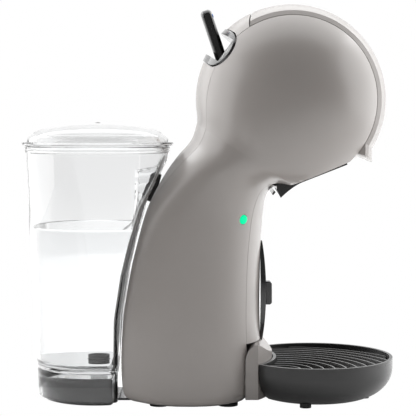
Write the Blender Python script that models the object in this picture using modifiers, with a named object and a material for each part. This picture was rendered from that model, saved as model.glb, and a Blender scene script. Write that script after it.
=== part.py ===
"""A compact pod coffee machine, as an assembly of separate pieces.

The machine faces +X and is symmetric about the plane Y = 0, apart from the power button on its
right-hand side (-Y). The origin is on the table, under the middle of the whole machine.
Sizes are in metres.
"""

import math

import bmesh
import bpy
from mathutils import Matrix, Vector

mm = 0.001

# ---------------------------------------------------------------------------------------------
# Driving dimensions
# ---------------------------------------------------------------------------------------------

# The head is an ellipsoid of revolution about a crosswise axis.
HEAD_X = 58.5 * mm
HEAD_Z = 214.0 * mm
HEAD_RADIUS = 67.2 * mm
HEAD_HALF_WIDTH = 66.0 * mm
HEAD_TILT = 56.0  # degrees from +X to the axis on which the neck enters the head

# The column that carries the head.
COLUMN_FRONT = 37.0 * mm
COLUMN_REAR = -58.0 * mm
COLUMN_HALF_WIDTH = 51.0 * mm
COLUMN_BOTTOM = 3.5 * mm
NECK_Z = 140.0 * mm  # where the rear of the column starts to lean into the neck

# The casing: two side shells with a centre band between them.
WALL = 2.4 * mm
SEAM = 0.7 * mm  # the open joint between two casing pieces
FIT = 0.35 * mm  # clearance between pieces that rest on or pass each other
BAND_HALF_WIDTH = 33.0 * mm

# The lift-up locking handle that closes the head.
HANDLE_END = 113.5  # degrees round the head, at its rear edge
HANDLE_LIP = -37.6  # degrees, at its front lip
HANDLE_LIP_X = 57.6 * mm  # the lip drops straight down this far in front of the head's centre
HINGE_ANGLE = 103.0
HINGE_RADIUS = 53.5 * mm
HINGE_PIN_R = 2.0 * mm
HINGE_HOLE_R = 2.05 * mm

# The selector lever and its housing, set into the head.
LEVER_ANGLE = 144.5
LEVER_SLOT_HALF_WIDTH = 14.0 * mm
LEVER_SLOT_HALF_LENGTH = 42.0 * mm
LEVER_LENGTH = 37.5 * mm
LEVER_THICKNESS = 7.0 * mm
LEVER_WIDTH = 11.0 * mm
LEVER_LEAN = 18.6  # degrees backwards from vertical
LEVER_PIN_RADIUS = 56.0 * mm  # the pin's distance from the head's centre
LEVER_PIN_ANGLE = 150.4

# The pod holder drawer, which slides down and forwards under the handle's lip.
DRAWER_SLOPE = 14.5  # degrees
DRAWER_HALF_WIDTH = 31.0 * mm
DRAWER_FRONT_X = 96.3 * mm
DRAWER_REAR_X = 47.6 * mm
DRAWER_TOP_Z = 174.2 * mm  # height of the sloping top face at the drawer's front
POD_X = 72.0 * mm
POD_RADIUS = 22.5 * mm
POD_DEPTH = 17.0 * mm
OUTLET_RADIUS = 9.0 * mm

# The water tank at the back, with its base.
TANK_X = -78.4 * mm
TANK_TOP_R = 51.6 * mm
TANK_BOTTOM_R = 43.4 * mm
TANK_TOP_Z = 181.5 * mm
TANK_BOTTOM_Z = 4.5 * mm
TANK_FLOOR_Z = 26.6 * mm
TANK_WALL = 2.2 * mm
TANK_BODY_GAP = 2.6 * mm  # from the column's flat rear to the tank's flat front
LID_RIM_R = 53.8 * mm
LID_DOME = 14.0 * mm

# The drip tray in front.
TRAY_X = 76.3 * mm
TRAY_RADIUS = 56.0 * mm
TRAY_TOP_Z = 30.8 * mm
TRAY_BOTTOM_Z = 1.4 * mm
TRAY_WALL = 2.2 * mm
CRADLE_FRONT_X = 45.9 * mm
CRADLE_ARC_R = 67.3 * mm
CRADLE_HALF_WIDTH = 38.0 * mm
CRADLE_TOP_Z = 44.0 * mm

BASE_BOTTOM_Z = 2.2 * mm
BASE_THICKNESS = 2.8 * mm
FOOT_RADIUS = 7.0 * mm

BUTTON_X = 24.4 * mm
BUTTON_Z = 131.8 * mm
BUTTON_RADIUS = 3.2 * mm
BUTTON_TRAVEL = 1.2 * mm

# ---------------------------------------------------------------------------------------------
# Scene and materials
# ---------------------------------------------------------------------------------------------


def clear_scene():
    for old in list(bpy.data.objects):
        bpy.data.objects.remove(old)


def new_collection(name):
    made = bpy.data.collections.new(name)
    bpy.context.scene.collection.children.link(made)
    return made


clear_scene()
PIECES = new_collection("pod_coffee_machine")
CUTTERS = new_collection("cutters")


def material(name, colour, roughness, metallic=0.0, alpha=1.0):
    made = bpy.data.materials.new(name)
    made.use_nodes = True
    shader = made.node_tree.nodes["Principled BSDF"]
    shader.inputs["Base Color"].default_value = (*colour, 1.0)
    shader.inputs["Roughness"].default_value = roughness
    shader.inputs["Metallic"].default_value = metallic
    shader.inputs["Alpha"].default_value = alpha
    made.diffuse_color = (*colour, alpha)
    return made


TAUPE = material("taupe_gloss_plastic", (0.30, 0.28, 0.26), 0.22)
BLACK = material("black_gloss_plastic", (0.02, 0.02, 0.02), 0.25)
CHARCOAL = material("charcoal_plastic", (0.045, 0.045, 0.045), 0.4)
INNER = material("inner_frame_plastic", (0.10, 0.10, 0.11), 0.6)
CLEAR = material("clear_plastic", (0.92, 0.94, 0.95), 0.05, alpha=0.3)
STEEL = material("steel", (0.62, 0.62, 0.63), 0.3, metallic=1.0)
ALUMINIUM = material("cast_aluminium", (0.55, 0.56, 0.57), 0.5, metallic=1.0)
COPPER = material("copper_winding", (0.60, 0.27, 0.13), 0.4, metallic=1.0)
BRASS = material("brass", (0.60, 0.45, 0.20), 0.35, metallic=1.0)
RUBBER = material("black_rubber", (0.015, 0.015, 0.015), 0.8)
SILICONE = material("white_silicone", (0.80, 0.80, 0.78), 0.5, alpha=0.8)
BOARD = material("green_circuit_board", (0.02, 0.16, 0.07), 0.5)
BLUE = material("blue_mark", (0.05, 0.20, 0.75), 0.4)
RED = material("red_mark", (0.70, 0.04, 0.03), 0.4)
GREEN_LIGHT = material("green_light_lens", (0.0, 0.85, 0.40), 0.3)

# ---------------------------------------------------------------------------------------------
# Modelling helpers
# ---------------------------------------------------------------------------------------------


def add_object(name, data, look=None, collection=None):
    made = bpy.data.objects.new(name, data)
    (collection or PIECES).objects.link(made)
    if look is not None:
        data.materials.append(look)
    return made


def mesh_object(name, bm, look=None, collection=None):
    """Turns a bmesh into an object, shaded smooth with sharp edges kept."""
    data = bpy.data.meshes.new(name)
    bm.to_mesh(data)
    bm.free()
    data.shade_smooth()
    data.set_sharp_from_angle(angle=math.radians(35))
    return add_object(name, data, look, collection)


def as_cutter(obj):
    obj.hide_render = True
    obj.display_type = "WIRE"
    return obj


def boolean(target, cutter, operation="DIFFERENCE"):
    made = target.modifiers.new(operation.lower(), "BOOLEAN")
    made.operation = operation
    made.object = cutter
    return target


def bevel(target, width, segments=2, angle=40.0):
    made = target.modifiers.new("rounded_edges", "BEVEL")
    made.width = width
    made.segments = segments
    made.limit_method = "ANGLE"
    made.angle_limit = math.radians(angle)
    return target


def box(name, low, high, look=None, collection=None):
    """A box between two corners."""
    bm = bmesh.new()
    size = Vector(high) - Vector(low)
    middle = (Vector(high) + Vector(low)) / 2
    bmesh.ops.create_cube(bm, size=1.0)
    bmesh.ops.transform(bm, matrix=Matrix.Translation(middle) @ Matrix.Diagonal((*size, 1)), verts=bm.verts)
    return mesh_object(name, bm, look, collection)


def direction_matrix(centre, axis):
    """Places something modelled along +Z so that it points along axis, at centre."""
    turn = Vector((0, 0, 1)).rotation_difference(Vector(axis)).to_matrix().to_4x4()
    return Matrix.Translation(Vector(centre)) @ turn


def add_cylinder(bm, radius, low, high, segments=24, top_radius=None, at=Matrix.Identity(4)):
    """A cylinder or cone from low to high along its own Z, placed by the matrix at."""
    place = at @ Matrix.Translation((0, 0, (low + high) / 2))
    bmesh.ops.create_cone(
        bm,
        cap_ends=True,
        segments=segments,
        radius1=radius,
        radius2=radius if top_radius is None else top_radius,
        depth=high - low,
        matrix=place,
    )


def cylinder(name, radius, low, high, look=None, segments=24, top_radius=None, at=Matrix.Identity(4), collection=None):
    bm = bmesh.new()
    add_cylinder(bm, radius, low, high, segments, top_radius, at)
    return mesh_object(name, bm, look, collection)


def turned(name, profile, look=None, steps=32, at=Matrix.Identity(4), collection=None):
    """A turned piece. The profile's (radius, height) points run down its outer side, and the
    outline is closed unless both of its ends are on the axis."""
    bm = bmesh.new()
    points = [bm.verts.new((radius, 0.0, height)) for radius, height in profile]
    for first, second in zip(points, points[1:]):
        bm.edges.new((first, second))
    if profile[0][0] > 0:
        bm.edges.new((points[-1], points[0]))
    data = bpy.data.meshes.new(name)
    bm.to_mesh(data)
    bm.free()
    made = add_object(name, data, look, collection)
    made.matrix_world = at
    screw = made.modifiers.new("turned", "SCREW")
    screw.axis = "Z"
    screw.steps = steps
    screw.render_steps = steps
    screw.use_merge_vertices = True
    screw.merge_threshold = 0.00001
    screw.use_smooth_shade = True
    return made


def flat_outline(name, points, low, high, look=None, plane="XY", collection=None):
    """A prism: an outline of (a, b) points in a plane, from low to high on the third axis."""
    bm = bmesh.new()
    place = {
        "XY": lambda a, b, h: (a, b, h),
        "XZ": lambda a, b, h: (a, h, b),
    }[plane]
    face = bm.faces.new([bm.verts.new(place(a, b, low)) for a, b in points])
    grown = bmesh.ops.extrude_face_region(bm, geom=[face])
    moved = [item for item in grown["geom"] if isinstance(item, bmesh.types.BMVert)]
    bmesh.ops.translate(bm, verts=moved, vec=Vector(place(0, 0, high - low)))
    bmesh.ops.recalc_face_normals(bm, faces=bm.faces)
    return mesh_object(name, bm, look, collection)


def hose(name, route, radius, look):
    """A tube along a smooth line through the route's points."""
    data = bpy.data.curves.new(name, "CURVE")
    data.dimensions = "3D"
    data.bevel_depth = radius
    data.bevel_resolution = 2
    data.use_fill_caps = True
    line = [p for i in range(len(route) - 1) for p in smooth_span(route, i, 4)] + [Vector(route[-1])]
    spline = data.splines.new("POLY")
    spline.points.add(len(line) - 1)
    for point, place in zip(spline.points, line):
        point.co = (*place, 1.0)
    return add_object(name, data, look)


def smooth_span(values, index, steps):
    """Points of a Catmull-Rom curve through values, from values[index] up to the next one."""
    last = len(values) - 1
    before, start = Vector(values[max(index - 1, 0)]), Vector(values[index])
    end, after = Vector(values[index + 1]), Vector(values[min(index + 2, last)])
    found = []
    for step in range(steps):
        t = step / steps
        found.append(
            0.5
            * (
                2 * start
                + (end - before) * t
                + (2 * before - 5 * start + 4 * end - after) * t**2
                + (3 * start - before - 3 * end + after) * t**3
            )
        )
    return found


# ---------------------------------------------------------------------------------------------
# The body's surface
# ---------------------------------------------------------------------------------------------


def polar(angle, radius):
    """The (x, z) of a point round the head's centre, with the angle in degrees from +X."""
    turn = math.radians(angle)
    return HEAD_X + radius * math.cos(turn), HEAD_Z + radius * math.sin(turn)


def around_head(angle, share):
    return polar(angle, share * HEAD_RADIUS)


def station(rear, front, half_width, squareness, flat):
    """One cross-section: rear and front (x, z), half width, superellipse power and the half
    width of its flat rear."""
    return (*rear, *front, half_width, squareness, flat)


def column_station(height, rear_in, front_in, width_in, flat):
    """A level section of the column. The height is a share of the neck's, and the rest are set
    in from the column's own rear, front and half width."""
    z = COLUMN_BOTTOM + height * (NECK_Z - COLUMN_BOTTOM)
    rear, front = (COLUMN_REAR + rear_in, z), (COLUMN_FRONT - front_in, z)
    return station(rear, front, COLUMN_HALF_WIDTH - width_in, 2.3, flat)


def stations():
    """Sections from the column's foot to where the neck meets the head."""
    return [
        column_station(0.000, 11.0 * mm, 6.5 * mm, 5.0 * mm, 34.0 * mm),
        column_station(0.022, 3.5 * mm, 2.2 * mm, 2.0 * mm, 38.0 * mm),
        column_station(0.070, -0.8 * mm, -0.4 * mm, 0.2 * mm, 40.0 * mm),
        column_station(0.230, -2.0 * mm, -0.6 * mm, 0.0 * mm, 40.0 * mm),
        column_station(0.440, -0.4 * mm, 0.2 * mm, 0.0 * mm, 40.0 * mm),
        column_station(0.650, 4.0 * mm, 0.0 * mm, 0.5 * mm, 39.0 * mm),
        column_station(0.810, 9.0 * mm, -0.7 * mm, 0.5 * mm, 38.0 * mm),
        station(
            (COLUMN_REAR + 16.5 * mm, NECK_Z),
            (COLUMN_FRONT + 2.0 * mm, NECK_Z - 6.0 * mm),
            COLUMN_HALF_WIDTH,
            2.3,
            34.5 * mm,
        ),
        station(around_head(211.0, 1.560), around_head(255.6, 1.045), 52.5 * mm, 2.3, 24.0 * mm),
        station(around_head(206.7, 1.340), around_head(258.2, 0.943), 54.5 * mm, 2.2, 12.0 * mm),
        station(around_head(202.0, 1.130), around_head(266.7, 0.900), 56.5 * mm, 2.1, 0.0),
        station(around_head(193.6, 1.015), around_head(278.0, 0.965), 58.0 * mm, 2.05, 0.0),
    ]


def head_station(along):
    """The section of the head at this distance along its tilted axis."""
    turn = math.radians(HEAD_TILT)
    half = math.sqrt(max(HEAD_RADIUS**2 - along**2, 0.0))
    middle_x, middle_z = HEAD_X + along * math.cos(turn), HEAD_Z + along * math.sin(turn)
    share = along / HEAD_RADIUS
    if along > 0:
        half_width = HEAD_HALF_WIDTH * math.sqrt(1 - share**2)
    else:  # the neck's side keeps its width, where a true ellipsoid would close
        half_width = HEAD_HALF_WIDTH * (1 - 0.246 * share**2)
    rear = (middle_x - half * math.sin(turn), middle_z + half * math.cos(turn))
    front = (middle_x + half * math.sin(turn), middle_z - half * math.cos(turn))
    return station(rear, front, half_width, 2.0, 0.0)


FLAT_POINTS = 2
ARC_POINTS = 11


def half_ring(section, shrink=0.0):
    """Points of one section's left half, from the middle of its rear to the middle of its front.
    shrink moves the whole section inwards."""
    rear, front = Vector((section[0], 0, section[1])), Vector((section[2], 0, section[3]))
    half_width, power, flat = section[4] - shrink, section[5], max(section[6] - shrink, 0.0)
    if half_width < 1e-6:
        return [rear.copy() for _ in range(FLAT_POINTS + ARC_POINTS + 1)]
    across = (front - rear).normalized()
    rear, front = rear + across * shrink, front - across * shrink
    corner = math.asin(min(1.0, (flat / half_width) ** (power / 2)))
    reach = math.cos(corner) ** (2 / power)
    half_length = (front - rear).length / (1 + reach)
    middle = front - across * half_length
    found = [rear + Vector((0, flat * step / FLAT_POINTS, 0)) for step in range(FLAT_POINTS)]
    for step in range(ARC_POINTS + 1):
        turn = (math.pi - corner) * (1 - step / ARC_POINTS)
        x = math.copysign(abs(math.cos(turn)) ** (2 / power), math.cos(turn))
        y = math.sin(turn) ** (2 / power) if 0 < turn < math.pi else 0.0
        found.append(middle + across * half_length * x + Vector((0, half_width * y, 0)))
    return found


COLUMN_STEPS = 2
HEAD_STEPS = 9


def sections():
    """Every section of the body, bottom to top, ending at the head's far pole."""
    fixed = stations()
    columns = [s for i in range(len(fixed) - 1) for s in smooth_span(fixed, i, COLUMN_STEPS)]
    start = math.degrees(math.acos(0.62))
    turns = [start + (180 - start) * step / HEAD_STEPS for step in range(HEAD_STEPS + 1)]
    heads = [head_station(-HEAD_RADIUS * math.cos(math.radians(turn))) for turn in turns]
    return [*columns, Vector(fixed[-1]), *heads]


def lofted(rings, closed_ends=False):
    """A bmesh skin over rings of points with equal counts."""
    bm = bmesh.new()
    grid = [[bm.verts.new(point) for point in ring] for ring in rings]
    for low, high in zip(grid, grid[1:]):
        for i in range(len(low) - 1):
            bm.faces.new((low[i], high[i], high[i + 1], low[i + 1]))
    if closed_ends:
        for ring in (grid[0], grid[-1]):
            bm.faces.new(ring)
    bmesh.ops.remove_doubles(bm, verts=bm.verts, dist=1e-6)
    return bm


def facing_out(bm, away_from):
    """Turns an open skin's faces away from a point inside the body."""
    bmesh.ops.recalc_face_normals(bm, faces=bm.faces)
    centre = Vector(away_from)
    outward = sum((f.calc_center_median() - centre).dot(f.normal) * f.calc_area() for f in bm.faces)
    if outward < 0:
        bmesh.ops.reverse_faces(bm, faces=bm.faces)
    return bm


def with_wall(bm):
    """Gives an open skin its wall, on the inside. Rims along the band's seams stay flat in Y."""
    bm.normal_update()
    faces = list(bm.faces)
    rims = [edge.link_loops[0] for edge in bm.edges if len(edge.link_faces) == 1]
    rims = [(loop.vert, loop.link_loop_next.vert) for loop in rims]
    inner = {}
    for vert in list(bm.verts):
        inward = -vert.normal
        if min(abs(abs(vert.co.y) - y) for y in (EDGE_Y, SHELL_Y)) < 1e-6:
            inward.y = 0
            inward.normalize()
        share = sum(-inward.dot(face.normal) for face in vert.link_faces) / len(vert.link_faces)
        inner[vert] = bm.verts.new(vert.co + inward * WALL / share)
    for face in faces:
        bm.faces.new([inner[vert] for vert in reversed(face.verts)])
    for first, second in rims:
        bm.faces.new((second, first, inner[first], inner[second]))
    return bm


def keep_side(bm, point, normal):
    """Cuts the skin by a plane and keeps what the normal points to."""
    bmesh.ops.bisect_plane(
        bm,
        geom=[*bm.verts, *bm.edges, *bm.faces],
        plane_co=point,
        plane_no=normal,
        clear_inner=True,
        dist=1e-6,
    )
    return bm


INSIDE = (-5 * mm, 0, 90 * mm)
EDGE_Y = BAND_HALF_WIDTH - SEAM / 2
SHELL_Y = BAND_HALF_WIDTH + SEAM / 2


def mirrored_ring(half):
    """A half ring from rear to front, with its mirror image before it."""
    other = [Vector((p.x, -p.y, p.z)) for p in reversed(half[1:])]
    return other + half


def side_skin(sign):
    rings = [[Vector((p.x, sign * p.y, p.z)) for p in half_ring(s)] for s in sections()]
    bm = keep_side(lofted(rings), (0, sign * SHELL_Y, 0), (0, sign, 0))
    return with_wall(facing_out(bm, INSIDE))


def rear_skin():
    """The centre band's rear, from the foot up to the lever."""
    rings = [mirrored_ring(half_ring(s)[: FLAT_POINTS + ARC_POINTS // 2 + 1]) for s in sections()[:-4]]
    bm = lofted(rings)
    keep_side(bm, (0, EDGE_Y, 0), (0, -1, 0))
    keep_side(bm, (0, -EDGE_Y, 0), (0, 1, 0))
    keep_side(bm, (0, 0, BASE_BOTTOM_Z + BASE_THICKNESS + 2 * FIT), (0, 0, 1))
    x, z = polar(LEVER_ANGLE + 6, HEAD_RADIUS)
    keep_side(bm, (x, 0, z), (-math.sin(math.radians(LEVER_ANGLE)), 0, math.cos(math.radians(LEVER_ANGLE))))
    return with_wall(facing_out(bm, INSIDE))


def front_skin(first, last):
    """The centre band's front on the column, between two of the stations."""
    picked = sections()[first : last + 1]
    rings = []
    for section in picked:
        half = half_ring(section)[-(ARC_POINTS // 2 + 1) :]
        rings.append([Vector((p.x, -p.y, p.z)) for p in half] + list(reversed(half[:-1])))
    bm = lofted(rings)
    keep_side(bm, (0, EDGE_Y, 0), (0, -1, 0))
    keep_side(bm, (0, -EDGE_Y, 0), (0, 1, 0))
    keep_side(bm, (0, 0, CRADLE_TOP_Z + FIT), (0, 0, 1))
    return with_wall(facing_out(bm, INSIDE))


def band_skin(start, end, steps, radius_at):
    """A strip of the head's surface between two angles, as wide as the centre band."""
    across = 10
    rings = []
    for step in range(steps + 1):
        angle = start + (end - start) * step / steps
        ring = []
        for i in range(across + 1):
            y = EDGE_Y * (2 * i / across - 1)
            x, z = polar(angle, radius_at(angle) * math.sqrt(1 - (y / HEAD_HALF_WIDTH) ** 2))
            ring.append(Vector((x, y, z)))
        rings.append(ring)
    return with_wall(facing_out(lofted(rings), (HEAD_X, 0, HEAD_Z)))


# ---------------------------------------------------------------------------------------------
# Cutters that several pieces share
# ---------------------------------------------------------------------------------------------


def lever_frame():
    """Local axes of the lever's housing: Z outwards, X up along the head, Y across."""
    turn = math.radians(LEVER_ANGLE)
    outward = Vector((math.cos(turn), 0, math.sin(turn)))
    along = Vector((math.sin(turn), 0, -math.cos(turn)))
    across = outward.cross(along)
    frame = Matrix((along, across, outward)).transposed().to_4x4()
    return Matrix.Translation((HEAD_X, 0, HEAD_Z)) @ frame


def stadium(half_length, half_width, arc_points=8):
    """An outline with round ends, long in Y."""
    straight = half_length - half_width
    found = []
    for sign in (1, -1):
        for step in range(arc_points + 1):
            turn = math.pi * step / arc_points
            found.append((sign * half_width * math.cos(turn), sign * (straight + half_width * math.sin(turn))))
    return found


def lever_opening(name, grow, low, high):
    """The stadium-shaped opening for the lever's housing, as a prism pointing outwards."""
    outline = stadium(LEVER_SLOT_HALF_LENGTH + grow, LEVER_SLOT_HALF_WIDTH + grow)
    made = flat_outline(name, outline, low, high, collection=CUTTERS)
    made.matrix_world = lever_frame()
    return as_cutter(made)


def cradle_solid(name, grow, look=None, collection=None):
    """The block that the drip tray sits against: convex in front, with a sloping top."""
    top, front = CRADLE_TOP_Z + grow, CRADLE_FRONT_X + grow
    slope_drop = 9.0 * mm
    side = [
        (CRADLE_REAR_X - grow, CRADLE_BOTTOM_Z - grow),
        (front, CRADLE_BOTTOM_Z - grow),
        (front, top - slope_drop),
        (CRADLE_REAR_X + CRADLE_LEDGE, top),
        (CRADLE_REAR_X - grow, top),
    ]
    half = CRADLE_HALF_WIDTH + grow
    made = flat_outline(name, side, -half, half, look, plane="XZ", collection=collection)
    return made


CRADLE_REAR_X = 24.0 * mm
CRADLE_LEDGE = 12.0 * mm
CRADLE_BOTTOM_Z = BASE_BOTTOM_Z + BASE_THICKNESS + 2 * FIT
LEVER_CUT = lever_opening("lever_opening_cut", FIT, 30 * mm, 90 * mm)
CRADLE_CUT = as_cutter(cradle_solid("cradle_cut", FIT, collection=CUTTERS))


def cradle_arc(name, grow):
    """The round face, shared by the cradle's front and the tray's back."""
    radius = CRADLE_ARC_R + grow
    centre = Matrix.Translation((CRADLE_FRONT_X - CRADLE_ARC_R, 0, 0))
    return as_cutter(cylinder(name, radius, -20 * mm, 90 * mm, segments=96, at=centre, collection=CUTTERS))


# ---------------------------------------------------------------------------------------------
# Casing
# ---------------------------------------------------------------------------------------------


def button_place():
    """Where the power button stands on the right-hand shell, and which way it faces."""
    return direction_matrix((BUTTON_X, -BUTTON_SURFACE_Y, BUTTON_Z), (0.60, -0.79, -0.12))


BUTTON_SURFACE_Y = 39.9 * mm


def side_shell(name, sign):
    shell = mesh_object(name, side_skin(sign), TAUPE)
    boolean(shell, LEVER_CUT)
    boolean(shell, CRADLE_CUT)
    return shell


def casing():
    side_shell("side_shell_left", 1)
    right = side_shell("side_shell_right", -1)
    hole = cylinder(
        "button_hole_cut", BUTTON_RADIUS + FIT, -8 * mm, 8 * mm, segments=20, at=button_place(), collection=CUTTERS
    )
    boolean(right, as_cutter(hole))
    rear = mesh_object("rear_cover", rear_skin(), TAUPE)
    boolean(rear, LEVER_CUT)
    inlet = cylinder(
        "rear_inlet_cut",
        HOSE_RADIUS + 1.2 * mm,
        COLUMN_REAR - 20 * mm,
        COLUMN_REAR + 20 * mm,
        at=direction_matrix((0, 0, INLET_Z), (1, 0, 0)),
        collection=CUTTERS,
    )
    boolean(rear, as_cutter(inlet))
    mesh_object("front_panel", front_skin(0, 2 * 9 + 1), TAUPE)
    cradle = cradle_solid("tray_cradle", 0.0, TAUPE)
    boolean(cradle, cradle_arc("cradle_front_cut", 0.0), "INTERSECT")


HOSE_RADIUS = 3.0 * mm
INLET_Z = 12.5 * mm


def top_cover():
    """The short strip of the band between the locking handle and the lever."""
    cover = mesh_object(
        "top_cover",
        band_skin(HINGE_ANGLE + 4, LEVER_ANGLE - 4, 8, lambda angle: HEAD_RADIUS),
        TAUPE,
    )
    boolean(cover, LEVER_CUT)
    swing = as_cutter(
        cylinder(
            "handle_swing_cut", hinge_reach() + SEAM, -80 * mm, 80 * mm, segments=64, at=hinge_place(), collection=CUTTERS
        )
    )
    boolean(cover, swing)
    return cover


def hinge_place():
    x, z = polar(HINGE_ANGLE, HINGE_RADIUS)
    return direction_matrix((x, 0, z), (0, 1, 0))


def hinge_reach():
    """The radius that the handle's rear edge sweeps about its hinge."""
    hinge, edge = Vector(polar(HINGE_ANGLE, HINGE_RADIUS)), Vector(polar(HANDLE_END, HEAD_RADIUS))
    return (edge - hinge).length


def handle_radius(angle):
    """The handle follows the head, and its lip drops straight down at the front."""
    if angle < 0:
        return max(HEAD_RADIUS, HANDLE_LIP_X / math.cos(math.radians(angle)))
    return HEAD_RADIUS


casing()
top_cover()


# ---------------------------------------------------------------------------------------------
# Locking handle and its hinge
# ---------------------------------------------------------------------------------------------

HANDLE_STEPS = 30
HANDLE_ACROSS = 8
LIP_START = -12.0
LIP_INNER_ANGLE = -44.1
LIP_INNER_RADIUS = 57.3 * mm
KNUCKLE_RADIUS = 4.6 * mm
KNUCKLE_Y = (12.0 * mm, 20.0 * mm)
POST_Y = (22.0 * mm, 26.0 * mm)


def handle_outline():
    """Pairs of (outer, inner) polar points from the handle's rear edge round to its lip."""
    pairs = []
    for step in range(HANDLE_STEPS + 1):
        angle = HANDLE_END + (HANDLE_LIP - HANDLE_END) * step / HANDLE_STEPS
        past = max(0.0, (LIP_START - angle) / (LIP_START - HANDLE_LIP))
        inner_angle = angle + past * (LIP_INNER_ANGLE - HANDLE_LIP)
        inner = HEAD_RADIUS - WALL - past * (HEAD_RADIUS - WALL - LIP_INNER_RADIUS)
        pairs.append((angle, handle_radius(angle), inner_angle, inner))
    return pairs


def handle_skin():
    rings = []
    for angle, outer, inner_angle, inner in handle_outline():
        places = [EDGE_Y * (2 * i / HANDLE_ACROSS - 1) for i in range(HANDLE_ACROSS + 1)]
        ring = [band_point(angle, outer, y) for y in places]
        ring += [band_point(inner_angle, inner, y) for y in reversed(places)]
        rings.append([*ring, ring[0]])
    bm = bmesh.new()
    grid = [[bm.verts.new(point) for point in ring[:-1]] for ring in rings]
    count = len(grid[0])
    for low, high in zip(grid, grid[1:]):
        for i in range(count):
            j = (i + 1) % count
            bm.faces.new((low[i], low[j], high[j], high[i]))
    bm.faces.new(grid[0])
    bm.faces.new(grid[-1])
    bmesh.ops.recalc_face_normals(bm, faces=bm.faces)
    return bm


def band_point(angle, radius, y):
    x, z = polar(angle, radius * math.sqrt(1 - (y / HEAD_HALF_WIDTH) ** 2))
    return Vector((x, y, z))


def locking_handle():
    handle = mesh_object("locking_handle", handle_skin(), TAUPE)
    hole = as_cutter(cylinder("hinge_hole_cut", HINGE_HOLE_R, -60 * mm, 60 * mm, at=hinge_place(), collection=CUTTERS))
    for side, (low, high) in (("left", KNUCKLE_Y), ("right", (-KNUCKLE_Y[1], -KNUCKLE_Y[0]))):
        knuckle = cylinder(f"handle_knuckle_{side}", KNUCKLE_RADIUS, low, high, at=hinge_place(), collection=CUTTERS)
        web = box(
            f"handle_web_{side}",
            (-2.6 * mm, low + 0.1 * mm, 0),
            (2.6 * mm, high - 0.1 * mm, HEAD_RADIUS - HINGE_RADIUS - 5.2 * mm),
            collection=CUTTERS,
        )
        x, z = polar(HINGE_ANGLE, HINGE_RADIUS)
        outward = Matrix.Rotation(math.radians(90 - HINGE_ANGLE), 4, "Y")
        web.matrix_world = Matrix.Translation((x, 0, z)) @ outward
        boolean(handle, as_cutter(web), "UNION")
        boolean(handle, as_cutter(knuckle), "UNION")
    boolean(handle, hole)
    return handle


def hinge_pin():
    return cylinder("handle_hinge_pin", HINGE_PIN_R, -26.8 * mm, 26.8 * mm, STEEL, 16, at=hinge_place())


# ---------------------------------------------------------------------------------------------
# Selector lever
# ---------------------------------------------------------------------------------------------


def lever_place():
    """The lever's own axes: Z up along the lever, X along its pin, Y across the machine."""
    x, z = polar(LEVER_PIN_ANGLE, LEVER_PIN_RADIUS)
    lean = Matrix.Rotation(-math.radians(LEVER_LEAN), 4, "Y")
    return Matrix.Translation((x, 0, z)) @ lean


def lever_housing():
    housing = flat_outline(
        "lever_housing",
        stadium(LEVER_SLOT_HALF_LENGTH - FIT, LEVER_SLOT_HALF_WIDTH - FIT),
        42 * mm,
        76 * mm,
        BLACK,
    )
    housing.matrix_world = lever_frame()
    ball = bmesh.new()
    bmesh.ops.create_uvsphere(ball, u_segments=48, v_segments=32, radius=1.0)
    size = Matrix.Diagonal((HEAD_RADIUS - 1.0 * mm, HEAD_HALF_WIDTH - 1.5 * mm, HEAD_RADIUS - 1.0 * mm, 1))
    bmesh.ops.transform(ball, matrix=Matrix.Translation((HEAD_X, 0, HEAD_Z)) @ size, verts=ball.verts)
    boolean(housing, as_cutter(mesh_object("lever_housing_limit", ball, collection=CUTTERS)), "INTERSECT")
    half = LEVER_THICKNESS / 2 + 2 * FIT
    slot = box("lever_slot_cut", (-half, -30 * mm, -8.6 * mm), (half, 30 * mm, 60 * mm), collection=CUTTERS)
    slot.matrix_world = lever_place()
    boolean(housing, as_cutter(slot))
    hole = cylinder(
        "lever_pin_hole_cut", LEVER_PIN_R + FIT, -8.5 * mm, 8.5 * mm, segments=16, at=lever_pin_place(), collection=CUTTERS
    )
    return boolean(housing, as_cutter(hole))


LEVER_PIN_R = 1.6 * mm


def lever_pin_place():
    place = lever_place()
    axis = place.to_3x3() @ Vector((1, 0, 0))
    return direction_matrix(place.to_translation(), axis)


def lever_shape():
    """The lever's outline seen along its pin: a round root, a waist and a round tip."""
    half, tip = LEVER_WIDTH / 2, LEVER_LENGTH - LEVER_WIDTH / 2
    found = []
    for step in range(9):
        turn = math.pi * step / 8
        found.append((half * math.cos(turn), tip + half * math.sin(turn)))
    for step in range(9):
        turn = math.pi + math.pi * step / 8
        found.append((1.35 * half * math.cos(turn), 1.35 * half * math.sin(turn)))
    return found


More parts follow.
